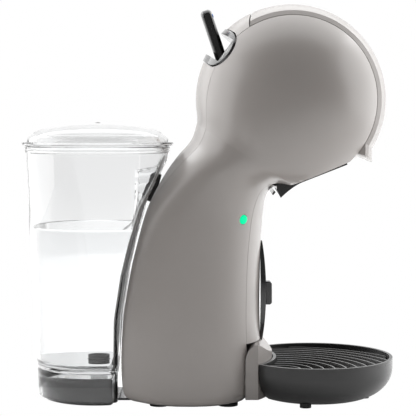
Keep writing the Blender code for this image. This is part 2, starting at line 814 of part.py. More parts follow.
def selector_lever():
    half = LEVER_THICKNESS / 2
    bm = bmesh.new()
    face = bm.faces.new([bm.verts.new((-half, y, z)) for y, z in lever_shape()])
    grown = bmesh.ops.extrude_face_region(bm, geom=[face])
    moved = [item for item in grown["geom"] if isinstance(item, bmesh.types.BMVert)]
    bmesh.ops.translate(bm, verts=moved, vec=(2 * half, 0, 0))
    bmesh.ops.recalc_face_normals(bm, faces=bm.faces)
    lever = mesh_object("selector_lever", bm, BLACK)
    lever.matrix_world = lever_place()
    bevel(lever, 1.4 * mm)
    hole = cylinder(
        "lever_bore_cut", LEVER_PIN_R + FIT, -9 * mm, 9 * mm, segments=16, at=lever_pin_place(), collection=CUTTERS
    )
    boolean(lever, as_cutter(hole))
    for name, side, look in (("cold_mark", -1, BLUE), ("hot_mark", 1, RED)):
        dot = Vector((half + 0.02 * mm, side * 2.1 * mm, LEVER_LENGTH - LEVER_WIDTH / 2))
        place = lever_place()
        at = direction_matrix(place @ dot, place.to_3x3() @ Vector((1, 0, 0)))
        cylinder(name, 1.5 * mm, 0.3 * mm, 0.8 * mm, look, 16, at=at)
    cylinder("lever_pin", LEVER_PIN_R, -8.2 * mm, 8.2 * mm, STEEL, 16, at=lever_pin_place())


# ---------------------------------------------------------------------------------------------
# Under the head: cover, drawer and injector
# ---------------------------------------------------------------------------------------------

UNDER_REAR = (48.9 * mm, 152.0 * mm)
UNDER_FRONT = (97.2 * mm, 171.0 * mm)


def under_height(x):
    """Height of the head's sloping underside."""
    slope = (UNDER_FRONT[1] - UNDER_REAR[1]) / (UNDER_FRONT[0] - UNDER_REAR[0])
    return UNDER_REAR[1] + (x - UNDER_REAR[0]) * slope


def under_cut():
    """Everything below the head's underside and in front of the column."""
    outline = [
        (38.0 * mm, under_height(38.0 * mm)),
        (44.0 * mm, 120.0 * mm),
        (150.0 * mm, 120.0 * mm),
        (150.0 * mm, under_height(150.0 * mm)),
    ]
    return as_cutter(flat_outline("underside_cut", outline, -90 * mm, 90 * mm, plane="XZ", collection=CUTTERS))


UNDER_CUT = under_cut()


def drawer_top(x):
    return DRAWER_TOP_Z - (x - DRAWER_FRONT_X) * math.tan(math.radians(DRAWER_SLOPE))


def inner_body():
    """The space inside the casing, as one closed solid."""
    rings = [mirrored_ring(half_ring(s, WALL + 3.4 * mm)) for s in sections()[:-1]]
    bm = bmesh.new()
    grid = [[bm.verts.new(point) for point in ring[:-1]] for ring in rings]
    count = len(grid[0])
    for low, high in zip(grid, grid[1:]):
        for i in range(count):
            j = (i + 1) % count
            bm.faces.new((low[i], low[j], high[j], high[i]))
    bm.faces.new(grid[0])
    bm.faces.new(grid[-1])
    bmesh.ops.remove_doubles(bm, verts=bm.verts, dist=1e-6)
    bmesh.ops.recalc_face_normals(bm, faces=bm.faces)
    return as_cutter(mesh_object("space_inside_casing", bm, collection=CUTTERS))


def underside_covers():
    """The strips that close the head's underside on both sides of the drawer."""
    rise, top = FIT, 2.6 * mm
    rear, front = 50.0 * mm, 103.0 * mm
    outline = [
        (rear, under_height(rear) + rise),
        (front, under_height(front) + rise),
        (front, under_height(front) + top),
        (rear, under_height(rear) + top),
    ]
    inside = inner_body()
    near, far = DRAWER_HALF_WIDTH + 2 * FIT, 60.0 * mm
    for name, low, high in (("underside_cover_left", near, far), ("underside_cover_right", -far, -near)):
        boolean(flat_outline(name, outline, low, high, BLACK, plane="XZ"), inside, "INTERSECT")


def pod_holder():
    front, rear = DRAWER_FRONT_X, DRAWER_REAR_X
    fin = [(rear + 3.0 * mm, under_height(rear) - FIN_DROP)]
    for step in range(1, 6):
        share = step / 6
        x = rear + 3.0 * mm + (front - rear - 6 * mm) * share
        fin.append((x, under_height(x) - FIN_DROP * (1 - share) ** 1.7 * 0.9))
    outline = [
        (rear, under_height(rear) - 0.4 * FIN_DROP),
        *fin,
        (front, under_height(front) + FIT),
        (front, drawer_top(front) - FIT),
        (rear, drawer_top(rear) - FIT),
    ]
    half = DRAWER_HALF_WIDTH
    holder = flat_outline("pod_holder", outline, -half, half, CHARCOAL, plane="XZ")
    bevel(holder, 1.0 * mm)
    top = Vector((POD_X, 0, drawer_top(POD_X)))
    place = direction_matrix(top, drawer_normal())
    pocket = cylinder(
        "pod_pocket_cut", POD_RADIUS - 3 * mm, -POD_DEPTH, 5 * mm, segments=32, top_radius=POD_RADIUS + 1 * mm, at=place,
        collection=CUTTERS,
    )
    boolean(holder, as_cutter(pocket))
    outlet = cylinder("pod_outlet_cut", OUTLET_RADIUS, -60 * mm, 0, segments=24, at=place, collection=CUTTERS)
    return boolean(holder, as_cutter(outlet))


FIN_DROP = 5.4 * mm  # how far the pod holder's rear hangs below the head's underside


def drawer_normal():
    turn = math.radians(DRAWER_SLOPE)
    return Vector((math.sin(turn), 0, math.cos(turn)))


def injector_place(height=0.0):
    centre = Vector((POD_X, 0, drawer_top(POD_X))) + drawer_normal() * height
    return direction_matrix(centre, drawer_normal())


def injector():
    place = injector_place()
    seal = [(24.5 * mm, 2.4 * mm), (24.5 * mm, 0.6 * mm), (20.5 * mm, 0.6 * mm), (20.5 * mm, 2.4 * mm)]
    turned("injector_seal", seal, SILICONE, 32, place)
    plate = [
        (4.4 * mm, 12.0 * mm),
        (9.0 * mm, 12.0 * mm),
        (9.0 * mm, 6.2 * mm),
        (25.5 * mm, 6.2 * mm),
        (25.5 * mm, 2.7 * mm),
        (4.4 * mm, 2.7 * mm),
    ]
    disc = turned("injector_plate", plate, INNER, 32, place)
    for side in (-1, 1):
        hole = cylinder(
            f"guide_hole_cut_{side + 1}", GUIDE_R + FIT, 0, 12 * mm, segments=16,
            at=place @ Matrix.Translation((0, side * GUIDE_Y, 0)), collection=CUTTERS,
        )
        boolean(disc, as_cutter(hole))
        name = "injector_guide_left" if side > 0 else "injector_guide_right"
        cylinder(name, GUIDE_R, 3.2 * mm, 22 * mm, STEEL, 16, at=place @ Matrix.Translation((0, side * GUIDE_Y, 0)))
    needle = [(0, 14.5 * mm), (4.0 * mm, 14.5 * mm), (4.0 * mm, 3.0 * mm), (1.8 * mm, 1.6 * mm), (0, 0.6 * mm)]
    turned("injection_needle", needle, STEEL, 16, place)


GUIDE_R = 1.8 * mm
GUIDE_Y = 15.5 * mm

# ---------------------------------------------------------------------------------------------
# Water tank
# ---------------------------------------------------------------------------------------------


def rear_line(offset):
    """The column's rear outline in (x, z), moved backwards by offset."""
    line = [(section[0], section[1]) for section in stations()[1:-3]]
    furthest = min(x for x, z in line)
    below = [z for x, z in line if x == furthest][0]
    return [(furthest if z < below else x, z) for x, z in line] if offset == 0 else [
        (x - offset, z) for x, z in rear_line(0)
    ]


def tank_front_cut(name, offset):
    """Everything in front of the tank's flat front, for a surface this far behind the column."""
    line = rear_line(offset)
    last, before = line[-1], line[-2]
    stretch = (200 * mm - last[1]) / (last[1] - before[1])
    top = (last[0] + (last[0] - before[0]) * stretch, 200 * mm)
    outline = [(line[0][0], -10 * mm), *line, top, (60 * mm, 200 * mm), (60 * mm, -10 * mm)]
    return as_cutter(flat_outline(name, outline, -90 * mm, 90 * mm, plane="XZ", collection=CUTTERS))


def tank_radius(z):
    share = (z - TANK_BOTTOM_Z) / (TANK_TOP_Z - TANK_BOTTOM_Z)
    return TANK_BOTTOM_R + (TANK_TOP_R - TANK_BOTTOM_R) * share


def tank_solid(name, inset, low, high, look=None, collection=CUTTERS):
    """The tank's outside shape moved inwards by inset, between two heights."""
    at = Matrix.Translation((TANK_X, 0, 0))
    made = cylinder(
        name, tank_radius(low) - inset, low, high, look, 56, tank_radius(high) - inset, at, collection
    )
    return boolean(made, tank_front_cut(f"{name}_front_cut", TANK_BODY_GAP + inset))


def tank():
    made = tank_solid("water_tank", 0.0, TANK_BOTTOM_Z, TANK_TOP_Z, CLEAR, PIECES)
    inside = tank_solid("tank_inside", TANK_WALL, TANK_FLOOR_Z, TANK_TOP_Z + 5 * mm)
    under = tank_solid("tank_under", TANK_WALL, TANK_BOTTOM_Z - 5 * mm, TANK_FLOOR_Z - TANK_WALL)
    boolean(made, as_cutter(inside))
    boolean(made, as_cutter(under))
    outlet = cylinder(
        "tank_outlet_cut", VALVE_STEM_R + FIT, TANK_FLOOR_Z - 10 * mm, TANK_FLOOR_Z + 5 * mm,
        at=Matrix.Translation((TANK_X, 0, 0)), collection=CUTTERS,
    )
    return boolean(made, as_cutter(outlet))


VALVE_STEM_R = 6.0 * mm
VALVE_HEIGHT = 3.6 * mm


def tank_lid():
    rim = TANK_TOP_Z + FIT
    steps = 8
    outer = []
    for step in range(steps + 1):
        turn = math.pi / 2 * (1 - step / steps)
        radius = (LID_RIM_R - 2.5 * mm) * math.cos(turn)
        outer.append((radius, rim + 2.4 * mm + (LID_DOME - 0.4 * mm) * math.sin(turn)))
    inner = [(r - 2.2 * mm, z - 2.2 * mm) for r, z in reversed(outer[1:-1]) if r > 2.2 * mm]
    profile = [
        *outer,
        (LID_RIM_R, rim + 2.4 * mm),
        (LID_RIM_R, rim),
        (TANK_TOP_R - TANK_WALL - 2 * FIT, rim),
        (TANK_TOP_R - TANK_WALL - 2 * FIT, rim - 4 * mm),
        (TANK_TOP_R - TANK_WALL - 2.4 * mm, rim - 4 * mm),
        *inner,
        (0, rim + LID_DOME - 0.2 * mm),
    ]
    lid = turned("tank_lid", profile, CLEAR, 56, Matrix.Translation((TANK_X, 0, 0)))
    notch = tank_front_cut("lid_plug_front_cut", TANK_BODY_GAP + TANK_WALL + 2 * FIT)
    limit = box("lid_plug_notch_cut", (TANK_X, -60 * mm, rim - 9 * mm), (0, 60 * mm, rim - FIT), collection=CUTTERS)
    boolean(limit, notch, "INTERSECT")
    return boolean(lid, as_cutter(limit))


def tank_valve():
    at = Matrix.Translation((TANK_X, 0, 0))
    floor = TANK_FLOOR_Z
    body = [
        (3.0 * mm, floor + VALVE_HEIGHT),
        (8.5 * mm, floor + VALVE_HEIGHT),
        (8.5 * mm, floor + FIT),
        (VALVE_STEM_R, floor + FIT),
        (VALVE_STEM_R, floor - TANK_WALL - 1.6 * mm),
        (3.0 * mm, floor - TANK_WALL - 1.6 * mm),
    ]
    turned("tank_valve", body, CHARCOAL, 24, at)
    filter_wall = [
        (6.5 * mm, floor + VALVE_HEIGHT + 3.0 * mm),
        (6.5 * mm, floor + VALVE_HEIGHT + FIT),
        (5.3 * mm, floor + VALVE_HEIGHT + FIT),
        (5.3 * mm, floor + VALVE_HEIGHT + 3.0 * mm),
    ]
    turned("tank_filter", filter_wall, STEEL, 24, at)


def tank_base():
    """The platform under the tank, reaching back from the column's foot."""
    low, high = BASE_BOTTOM_Z, TANK_FLOOR_Z - TANK_WALL - 2.2 * mm
    at = Matrix.Translation((TANK_X, 0, 0))
    radius = tank_radius(low) - TANK_WALL - 1.2 * mm
    base = cylinder("tank_base", radius, low, high, CHARCOAL, 48, radius + 0.3 * mm, at)
    boolean(base, tank_front_cut("tank_base_front_cut", TANK_BODY_GAP + TANK_WALL + 1.2 * mm))
    bridge = box(
        "tank_base_bridge", (-75 * mm, -20 * mm, low), (COLUMN_REAR + 14 * mm, 20 * mm, TANK_BOTTOM_Z - 2 * FIT),
        collection=CUTTERS,
    )
    boolean(base, as_cutter(bridge), "UNION")
    well = cylinder("tank_well_cut", 7.2 * mm, high - 6 * mm, high + 5 * mm, at=at, collection=CUTTERS)
    boolean(base, as_cutter(well))
    return base


# ---------------------------------------------------------------------------------------------
# Drip tray
# ---------------------------------------------------------------------------------------------


def tray_profile(inset, low, high):
    outer = TRAY_RADIUS - inset
    return [(0, high), (outer, high), (outer, low + 12 * mm), (outer - 3 * mm, low + 5 * mm), (outer - 10 * mm, low), (0, low)]


def drip_tray():
    at = Matrix.Translation((TRAY_X, 0, 0))
    tray = turned("drip_tray", tray_profile(0.0, TRAY_BOTTOM_Z, TRAY_TOP_Z), BLACK, 56, at)
    boolean(tray, cradle_arc("tray_back_cut", 0.8 * mm))
    inside = turned(
        "tray_inside_cut",
        tray_profile(TRAY_WALL, TRAY_BOTTOM_Z + TRAY_WALL, TRAY_TOP_Z + 6 * mm),
        None,
        56,
        at,
        CUTTERS,
    )
    boolean(inside, cradle_arc("tray_inside_back_cut", 0.8 * mm + TRAY_WALL))
    boolean(tray, as_cutter(inside))
    for index, (x, y) in enumerate(((112, 0), (68, 34), (68, -34))):
        foot = cylinder(
            f"tray_foot_{index}", 4 * mm, 0, TRAY_BOTTOM_Z + 1 * mm, segments=16,
            at=Matrix.Translation((x * mm, y * mm, 0)), collection=CUTTERS,
        )
        boolean(tray, as_cutter(foot), "UNION")
    return tray


GRID_THICKNESS = 2.4 * mm
GRID_DROP = 3.4 * mm  # the grid lies this far below the tray's rim
GRID_RADII = (10.0 * mm, 19.0 * mm, 28.0 * mm, 37.0 * mm, 46.0 * mm)


def arc_slots():
    """Curved slots on circles about the tray's centre, as prisms."""
    bm = bmesh.new()
    low, high = TRAY_TOP_Z - 10 * mm, TRAY_TOP_Z + 5 * mm
    for radius in GRID_RADII:
        reach = 58.0 if radius < 36 * mm else 50.0
        count = 4
        for quarter in range(count):
            middle = 45 + 90 * quarter
            if radius > 27 * mm and quarter in (1, 2):
                middle, reach = (104, 26.0) if quarter == 1 else (256, 26.0)
            if radius > 45 * mm and quarter in (1, 2):
                continue
            arc_prism(bm, radius, 1.5 * mm, middle, reach, low, high)
    bmesh.ops.recalc_face_normals(bm, faces=bm.faces)
    return bm


def arc_prism(bm, radius, half_width, middle, reach, low, high, steps=6):
    rings = []
    for step in range(steps + 1):
        turn = math.radians(middle - reach / 2 + reach * step / steps)
        ring = []
        for r, z in ((radius - half_width, low), (radius + half_width, low), (radius + half_width, high), (radius - half_width, high)):
            ring.append(bm.verts.new((TRAY_X + r * math.cos(turn), r * math.sin(turn), z)))
        rings.append(ring)
    for first, second in zip(rings, rings[1:]):
        for i in range(4):
            j = (i + 1) % 4
            bm.faces.new((first[i], first[j], second[j], second[i]))
    bm.faces.new(rings[0])
    bm.faces.new(rings[-1])


def drip_grid():
    at = Matrix.Translation((TRAY_X, 0, 0))
    high = TRAY_TOP_Z - GRID_DROP
    grid = cylinder("drip_grid", TRAY_RADIUS - TRAY_WALL - FIT, high - GRID_THICKNESS, high, BLACK, 56, at=at)
    boolean(grid, cradle_arc("grid_back_cut", 0.8 * mm + TRAY_WALL + FIT))
    return boolean(grid, as_cutter(mesh_object("grid_slots_cut", arc_slots(), collection=CUTTERS)))


# ---------------------------------------------------------------------------------------------
# Base, frame and works
# ---------------------------------------------------------------------------------------------


def rail():
    """The upright rail on the column's front, with the hook that a raised tray hangs on."""
    outline = []
    for step in range(13):
        turn = math.pi * (step / 12 - 0.5)
        outline.append((RAIL_HALF_WIDTH * math.cos(turn) ** 0.8, RAIL_MIDDLE_Z + RAIL_HALF_HEIGHT * math.sin(turn)))
    outline += [(-a, b) for a, b in reversed(outline[1:-1])]
    bm = bmesh.new()
    face = bm.faces.new([bm.verts.new((RAIL_REAR_X, y, z)) for y, z in outline])
    grown = bmesh.ops.extrude_face_region(bm, geom=[face])
    moved = [item for item in grown["geom"] if isinstance(item, bmesh.types.BMVert)]
    bmesh.ops.translate(bm, verts=moved, vec=(RAIL_FRONT_X - RAIL_REAR_X, 0, 0))
    bmesh.ops.recalc_face_normals(bm, faces=bm.faces)
    plate = mesh_object("front_rail", bm, BLACK)
    boolean(plate, CRADLE_CUT)
    low, high = (RAIL_FRONT_X + 0.05 * mm, -4.5 * mm, 68 * mm), (RAIL_FRONT_X + 4.6 * mm, 4.5 * mm, 84.5 * mm)
    hook = box("rail_hook", low, high, BLACK)
    bevel(hook, 1.5 * mm)
    notch = box("rail_hook_notch", (0, -6 * mm, 60 * mm), (RAIL_FRONT_X + 2.2 * mm, 6 * mm, 74 * mm), collection=CUTTERS)
    return boolean(hook, as_cutter(notch))


RAIL_HALF_WIDTH = 13.0 * mm
RAIL_HALF_HEIGHT = 36.0 * mm
RAIL_MIDDLE_Z = 78.0 * mm
RAIL_REAR_X = 38.6 * mm
RAIL_FRONT_X = 41.2 * mm


def base_plate():
    """The column's floor, following the foot of the casing."""
    outline = [(p.x, p.y) for p in mirrored_ring(half_ring(stations()[0], WALL + 2 * FIT))[:-1]]
    plate = flat_outline("base_plate", outline, BASE_BOTTOM_Z, BASE_BOTTOM_Z + BASE_THICKNESS, CHARCOAL)
    notch = box(
        "base_bridge_notch_cut", (-80 * mm, -20 * mm - FIT, 0), (COLUMN_REAR + 14 * mm + FIT, 20 * mm + FIT, 20 * mm),
        collection=CUTTERS,
    )
    boolean(plate, as_cutter(notch))
    for index, (x, y) in enumerate(((-34, 26), (-34, -26), (14, 26), (14, -26))):
        cylinder(
            f"base_foot_{index + 1}", FOOT_RADIUS, 0, BASE_BOTTOM_Z - FIT, RUBBER, 20,
            at=Matrix.Translation((x * mm, y * mm, 0)),
        )
    return plate


CHEEK = (34.2 * mm, 36.4 * mm)


def cheek_outline():
    lower = [(-28 * mm, 60 * mm), (14 * mm, 60 * mm), (10 * mm, 128 * mm), (20 * mm, 152 * mm)]
    lower += [(50 * mm, 170 * mm), (80 * mm, 179 * mm)]
    upper = [polar(angle, 49 * mm) for angle in (-30, 0, 40, 80, 116)]
    upper += [polar(126, 36 * mm), polar(166, 36 * mm), (8 * mm, 190 * mm), (0, 160 * mm), (-18 * mm, 118 * mm)]
    return lower + upper


def internal_frame():
    x, z = polar(HINGE_ANGLE, HINGE_RADIUS)
    frame = box("internal_frame", (-30 * mm, -30 * mm, 5.4 * mm), (-27 * mm, 30 * mm, 118 * mm), INNER)
    pieces = [
        box("frame_tie", (-29 * mm, -36.4 * mm, 62 * mm), (-26 * mm, 36.4 * mm, 100 * mm), collection=CUTTERS),
        box("frame_beam", (40 * mm, -36.4 * mm, 229 * mm), (64 * mm, 36.4 * mm, 232 * mm), collection=CUTTERS),
    ]
    for side, sign in (("left", 1), ("right", -1)):
        low, high = sorted((sign * CHEEK[0], sign * CHEEK[1]))
        cheek = flat_outline(f"frame_cheek_{side}", cheek_outline(), low, high, plane="XZ", collection=CUTTERS)
        low, high = sorted((sign * POST_Y[0], sign * POST_Y[1]))
        post = box(
            f"frame_post_{side}", (x - 3.6 * mm, low, 230 * mm), (x + 3.6 * mm, high, z + 3.0 * mm), collection=CUTTERS
        )
        pieces += [cheek, post]
    for piece in pieces:
        boolean(frame, as_cutter(piece), "UNION")
    hole = cylinder("post_hole_cut", HINGE_HOLE_R, -60 * mm, 60 * mm, at=hinge_place(), collection=CUTTERS)
    return boolean(frame, as_cutter(hole))


def works():
    """The pump, heater, valve, board and hoses."""
    pump_at = Matrix.Translation((-7.5 * mm, 0, 0))
    cylinder("pump_body", 13 * mm, 9 * mm, 66 * mm, CHARCOAL, 24, at=pump_at)
    coil = [(18.5 * mm, 54 * mm), (18.5 * mm, 22 * mm), (13.4 * mm, 22 * mm), (13.4 * mm, 54 * mm)]
    turned("pump_coil", coil, COPPER, 28, pump_at)
    for height, name in ((5.4, "pump_mount_lower"), (66.4, "pump_mount_upper")):
        cylinder(name, 9 * mm, height * mm, (height + 3.2) * mm, RUBBER, 20, at=pump_at)
    heater = box("heater_block", (-14 * mm, -24 * mm, 76 * mm), (18 * mm, 24 * mm, 122 * mm), ALUMINIUM)
    bevel(heater, 2.0 * mm)
    cylinder("heater_thermostat", 7 * mm, 24.4 * mm, 29 * mm, STEEL, 20, at=direction_matrix((2 * mm, 0, 104 * mm), (0, 1, 0)))
    valve = box("selector_valve", (14 * mm, -12 * mm, 204 * mm), (34 * mm, 12 * mm, 222 * mm), BRASS)
    bevel(valve, 1.2 * mm)
    box("control_board", (-40 * mm, -30 * mm, 40 * mm), (-38.2 * mm, 30 * mm, 100 * mm), BOARD)
    box("board_relay", (-37.9 * mm, 6 * mm, 54 * mm), (-31 * mm, 24 * mm, 68 * mm), CHARCOAL)
    box("board_transformer", (-37.9 * mm, -24 * mm, 74 * mm), (-31 * mm, -2 * mm, 92 * mm), CHARCOAL)


def hoses():
    inlet = INLET_Z
    cold = [(-57, 0, 0), (-48, 0, 0), (-40, -8, 0), (-38, -32, 5), (-24, -38, 6), (-12, -28, 2), (-8, -17, 1)]
    hose("cold_hose", [Vector(p) * mm + Vector((0, 0, inlet)) for p in cold], HOSE_RADIUS, SILICONE)
    hot = [(2, 0, 122.5), (2, 0, 130), (8, 0, 150), (20, 0, 180), (24, 0, 196), (24, 0, 203.6)]
    hose("hot_hose", [Vector(p) * mm for p in hot], HOSE_RADIUS, SILICONE)
    feed = [(34.4, 0, 213), (42, 0, 213), (58, 0, 218), (72, 0, 212), (injector_top())]
    hose("injector_hose", [Vector(p) * mm for p in feed], 2.4 * mm, SILICONE)


def injector_top():
    top = injector_place(23.5 * mm).to_translation()
    return (top.x / mm, 0, top.z / mm)


def power_button():
    at = button_place()
    button = cylinder("power_button", BUTTON_RADIUS, -3.4 * mm, 0.6 * mm, GREEN_LIGHT, 20, at=at)
    bevel(button, 0.5 * mm)
    switch = box("button_switch", (-3.5 * mm, -3.5 * mm, -10.5 * mm), (3.5 * mm, 3.5 * mm, -5.0 * mm), CHARCOAL)
    switch.matrix_world = at
    return button


locking_handle()
hinge_pin()
lever_housing()
selector_lever()
underside_covers()
pod_holder()
injector()
tank()
tank_lid()
tank_valve()
tank_base()
drip_tray()
drip_grid()
rail()
base_plate()
internal_frame()
works()
hoses()
power_button()

for shell_name in ("side_shell_left", "side_shell_right", "front_panel"):
    boolean(bpy.data.objects[shell_name], UNDER_CUT)
DRAWER_CUT = box(
    "drawer_opening_cut",
    (DRAWER_REAR_X - 2 * FIT, -EDGE_Y - 2 * mm, 100 * mm),
    (150 * mm, EDGE_Y + 2 * mm, 260 * mm),
    collection=CUTTERS,
)
boolean(bpy.data.objects["front_panel"], as_cutter(DRAWER_CUT))
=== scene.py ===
# %% [markdown]
# # A compact pod coffee machine
#
# The machine is a round head on a slim column, with a clear water tank behind it and a round
# drip tray in front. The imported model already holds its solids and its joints. This lesson
# gives it its looks: finely curved casing pieces, clear plastic, water, and finishes made
# from shader nodes.

import math

import bmesh
import bpy
from mathutils import Matrix, Vector


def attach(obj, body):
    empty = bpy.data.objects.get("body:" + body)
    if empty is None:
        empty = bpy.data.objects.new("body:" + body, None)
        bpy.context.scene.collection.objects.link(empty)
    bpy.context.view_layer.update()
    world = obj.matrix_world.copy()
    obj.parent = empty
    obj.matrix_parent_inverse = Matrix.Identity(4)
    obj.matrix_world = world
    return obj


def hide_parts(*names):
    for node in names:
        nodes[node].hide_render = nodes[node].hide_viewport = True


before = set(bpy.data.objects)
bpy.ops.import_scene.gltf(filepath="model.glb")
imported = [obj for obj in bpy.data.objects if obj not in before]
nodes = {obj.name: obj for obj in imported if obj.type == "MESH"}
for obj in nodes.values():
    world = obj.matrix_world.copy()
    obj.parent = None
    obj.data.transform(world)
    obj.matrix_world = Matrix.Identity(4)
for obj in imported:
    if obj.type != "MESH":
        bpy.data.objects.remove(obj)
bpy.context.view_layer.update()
mm = 0.001

# %% [markdown]
# The camera stands a metre away on the machine's right-hand side, a little above it, so the
# column is seen from the side with the tray to the right. A long lens keeps the sides of the
# tank and the tray nearly parallel.

# %% Camera
CAMERA_AT, LOOKED_AT = Vector((0, -1.0332, 0.2097)), Vector((0, 0, 0.137))
lens = bpy.data.cameras.new("side_camera")
lens.lens = 125.5
lens.sensor_width = 36.0
camera = bpy.data.objects.new("side_camera", lens)
bpy.context.scene.collection.objects.link(camera)
camera.location = CAMERA_AT
sight = LOOKED_AT - CAMERA_AT
camera.rotation_mode = "QUATERNION"
camera.rotation_quaternion = sight.to_track_quat("-Z", "Y")
bpy.context.scene.camera = camera
bpy.context.scene.view_settings.view_transform = "Standard"
print("camera distance:", round(sight.length, 3), "m")

# %% [markdown]
# Gloss plastic shows its shape through what it reflects. Large soft panels stand on both
# sides, behind and above, and the side towards the camera is left dimmer. The middle of
# each rounded form then stays calm and its edges turn bright, as in a product studio.

# %% World and light panels
AMBIENT, THROUGH_CLEAR = 0.11, 0.82
world = bpy.data.worlds.new("pale_studio")
bpy.context.scene.world = world
world.use_nodes = True
sky = world.node_tree.nodes
sky_links = world.node_tree.links
dim = sky["Background"]
dim.inputs["Color"].default_value = (1, 1, 1, 1)
dim.inputs["Strength"].default_value = AMBIENT


def seen_directly(tree):
    """One where a surface is looked at straight or through clear plastic, else zero."""
    kind = tree.nodes.new("ShaderNodeLightPath")
    either = tree.nodes.new("ShaderNodeMath")
    either.operation = "MULTIPLY_ADD"
    either.use_clamp = True
    either.inputs[1].default_value = THROUGH_CLEAR
    tree.links.new(kind.outputs["Is Transmission Ray"], either.inputs[0])
    tree.links.new(kind.outputs["Is Camera Ray"], either.inputs[2])
    return either.outputs["Value"]


bright = sky.new("ShaderNodeBackground")
bright.inputs["Color"].default_value = (1, 1, 1, 1)
bright.inputs["Strength"].default_value = 1.0
choose = sky.new("ShaderNodeMixShader")
sky_links.new(seen_directly(world.node_tree), choose.inputs["Fac"])
sky_links.new(dim.outputs["Background"], choose.inputs[1])
sky_links.new(bright.outputs["Background"], choose.inputs[2])
sky_links.new(choose.outputs["Shader"], sky["World Output"].inputs["Surface"])


def panel(name, place, aim, size, power):
    """A soft light panel at place, turned towards aim."""
    data = bpy.data.lights.new(name, "AREA")
    data.shape = "RECTANGLE"
    data.size, data.size_y = size
    data.energy = power
    light = bpy.data.objects.new(name, data)
    bpy.context.scene.collection.objects.link(light)
    light.location = place
    aimed = Vector(aim) - Vector(place)
    light.rotation_mode = "QUATERNION"
    light.rotation_quaternion = aimed.to_track_quat("-Z", "Y")
    light.visible_transmission = False


PANELS = [
    ("panel_rear", (-1.0, 0.25, 0.35), (0, 0, 0.13), (1.5, 1.4), 19),
    ("panel_front", (1.0, 0.25, 0.35), (0, 0, 0.13), (1.5, 1.4), 20),
    ("panel_top", (0, 0.35, 1.05), (0, 0, 0.1), (2.0, 1.3), 19),
    ("panel_back", (0, 1.1, 0.5), (0, 0, 0.15), (1.8, 1.0), 6),
    ("panel_camera_side", (0, -2.6, 1.5), (0, 0, 0.15), (3.2, 2.4), 4),
]
for settings in PANELS:
    panel(*settings)
print("light panels:", len(PANELS))

# %% [markdown]
# The floor is one pale sheet, far larger than the machine. A little glow in it keeps it as
# light as the background, and the machine's own soft shadow still shows.

# %% Floor
ground = bmesh.new()
bmesh.ops.create_grid(ground, x_segments=1, y_segments=1, size=6.0)
floor_mesh = bpy.data.meshes.new("floor")
ground.to_mesh(floor_mesh)
ground.free()
floor = bpy.data.objects.new("floor", floor_mesh)
bpy.context.scene.collection.objects.link(floor)
floor.location.z = -0.0004
paper = bpy.data.materials.new("pale_paper")
paper.use_nodes = True
paper_shader = paper.node_tree.nodes["Principled BSDF"]
paper_shader.inputs["Base Color"].default_value = (0.93, 0.93, 0.93, 1)
paper_shader.inputs["Roughness"].default_value = 0.85
paper_shader.inputs["Specular IOR Level"].default_value = 0.1
paper_shader.inputs["Emission Color"].default_value = (1, 1, 1, 1)
paper_shader.inputs["Emission Strength"].default_value = 0.10
paper_links = paper.node_tree.links
white = paper.node_tree.nodes.new("ShaderNodeEmission")
white.inputs["Strength"].default_value = 1.0
blend = paper.node_tree.nodes.new("ShaderNodeMixShader")
paper_links.new(seen_directly(paper.node_tree), blend.inputs["Fac"])
paper_links.new(paper_shader.outputs["BSDF"], blend.inputs[1])
paper_links.new(white.outputs["Emission"], blend.inputs[2])
paper_links.new(blend.outputs["Shader"], paper.node_tree.nodes["Material Output"].inputs["Surface"])
floor_mesh.materials.append(paper)
print("floor:", floor.name)

# %% [markdown]
# Moulded plastic is never perfectly even: gloss varies a little, and a very fine ripple
# bends the reflections. One helper makes every plastic, rubber and metal from the same few
# noise nodes, on object coordinates so that nothing slides when a piece moves.

# %% A helper for moulded and metal finishes
def ramp(tree, source, low, high):
    """Turns a 0 to 1 value into one between low and high."""
    node = tree.nodes.new("ShaderNodeMapRange")
    node.inputs["To Min"].default_value = low
    node.inputs["To Max"].default_value = high
    tree.links.new(source, node.inputs["Value"])
    return node.outputs["Result"]


def noise(tree, scale, detail=3.0, stretch=(1, 1, 1)):
    """Noise on object coordinates, stretched if wanted."""
    where = tree.nodes.new("ShaderNodeTexCoord")
    turn = tree.nodes.new("ShaderNodeMapping")
    turn.inputs["Scale"].default_value = stretch
    made = tree.nodes.new("ShaderNodeTexNoise")
    made.inputs["Scale"].default_value = scale
    made.inputs["Detail"].default_value = detail
    tree.links.new(where.outputs["Object"], turn.inputs["Vector"])
    tree.links.new(turn.outputs["Vector"], made.inputs["Vector"])
    return made.outputs["Fac"]


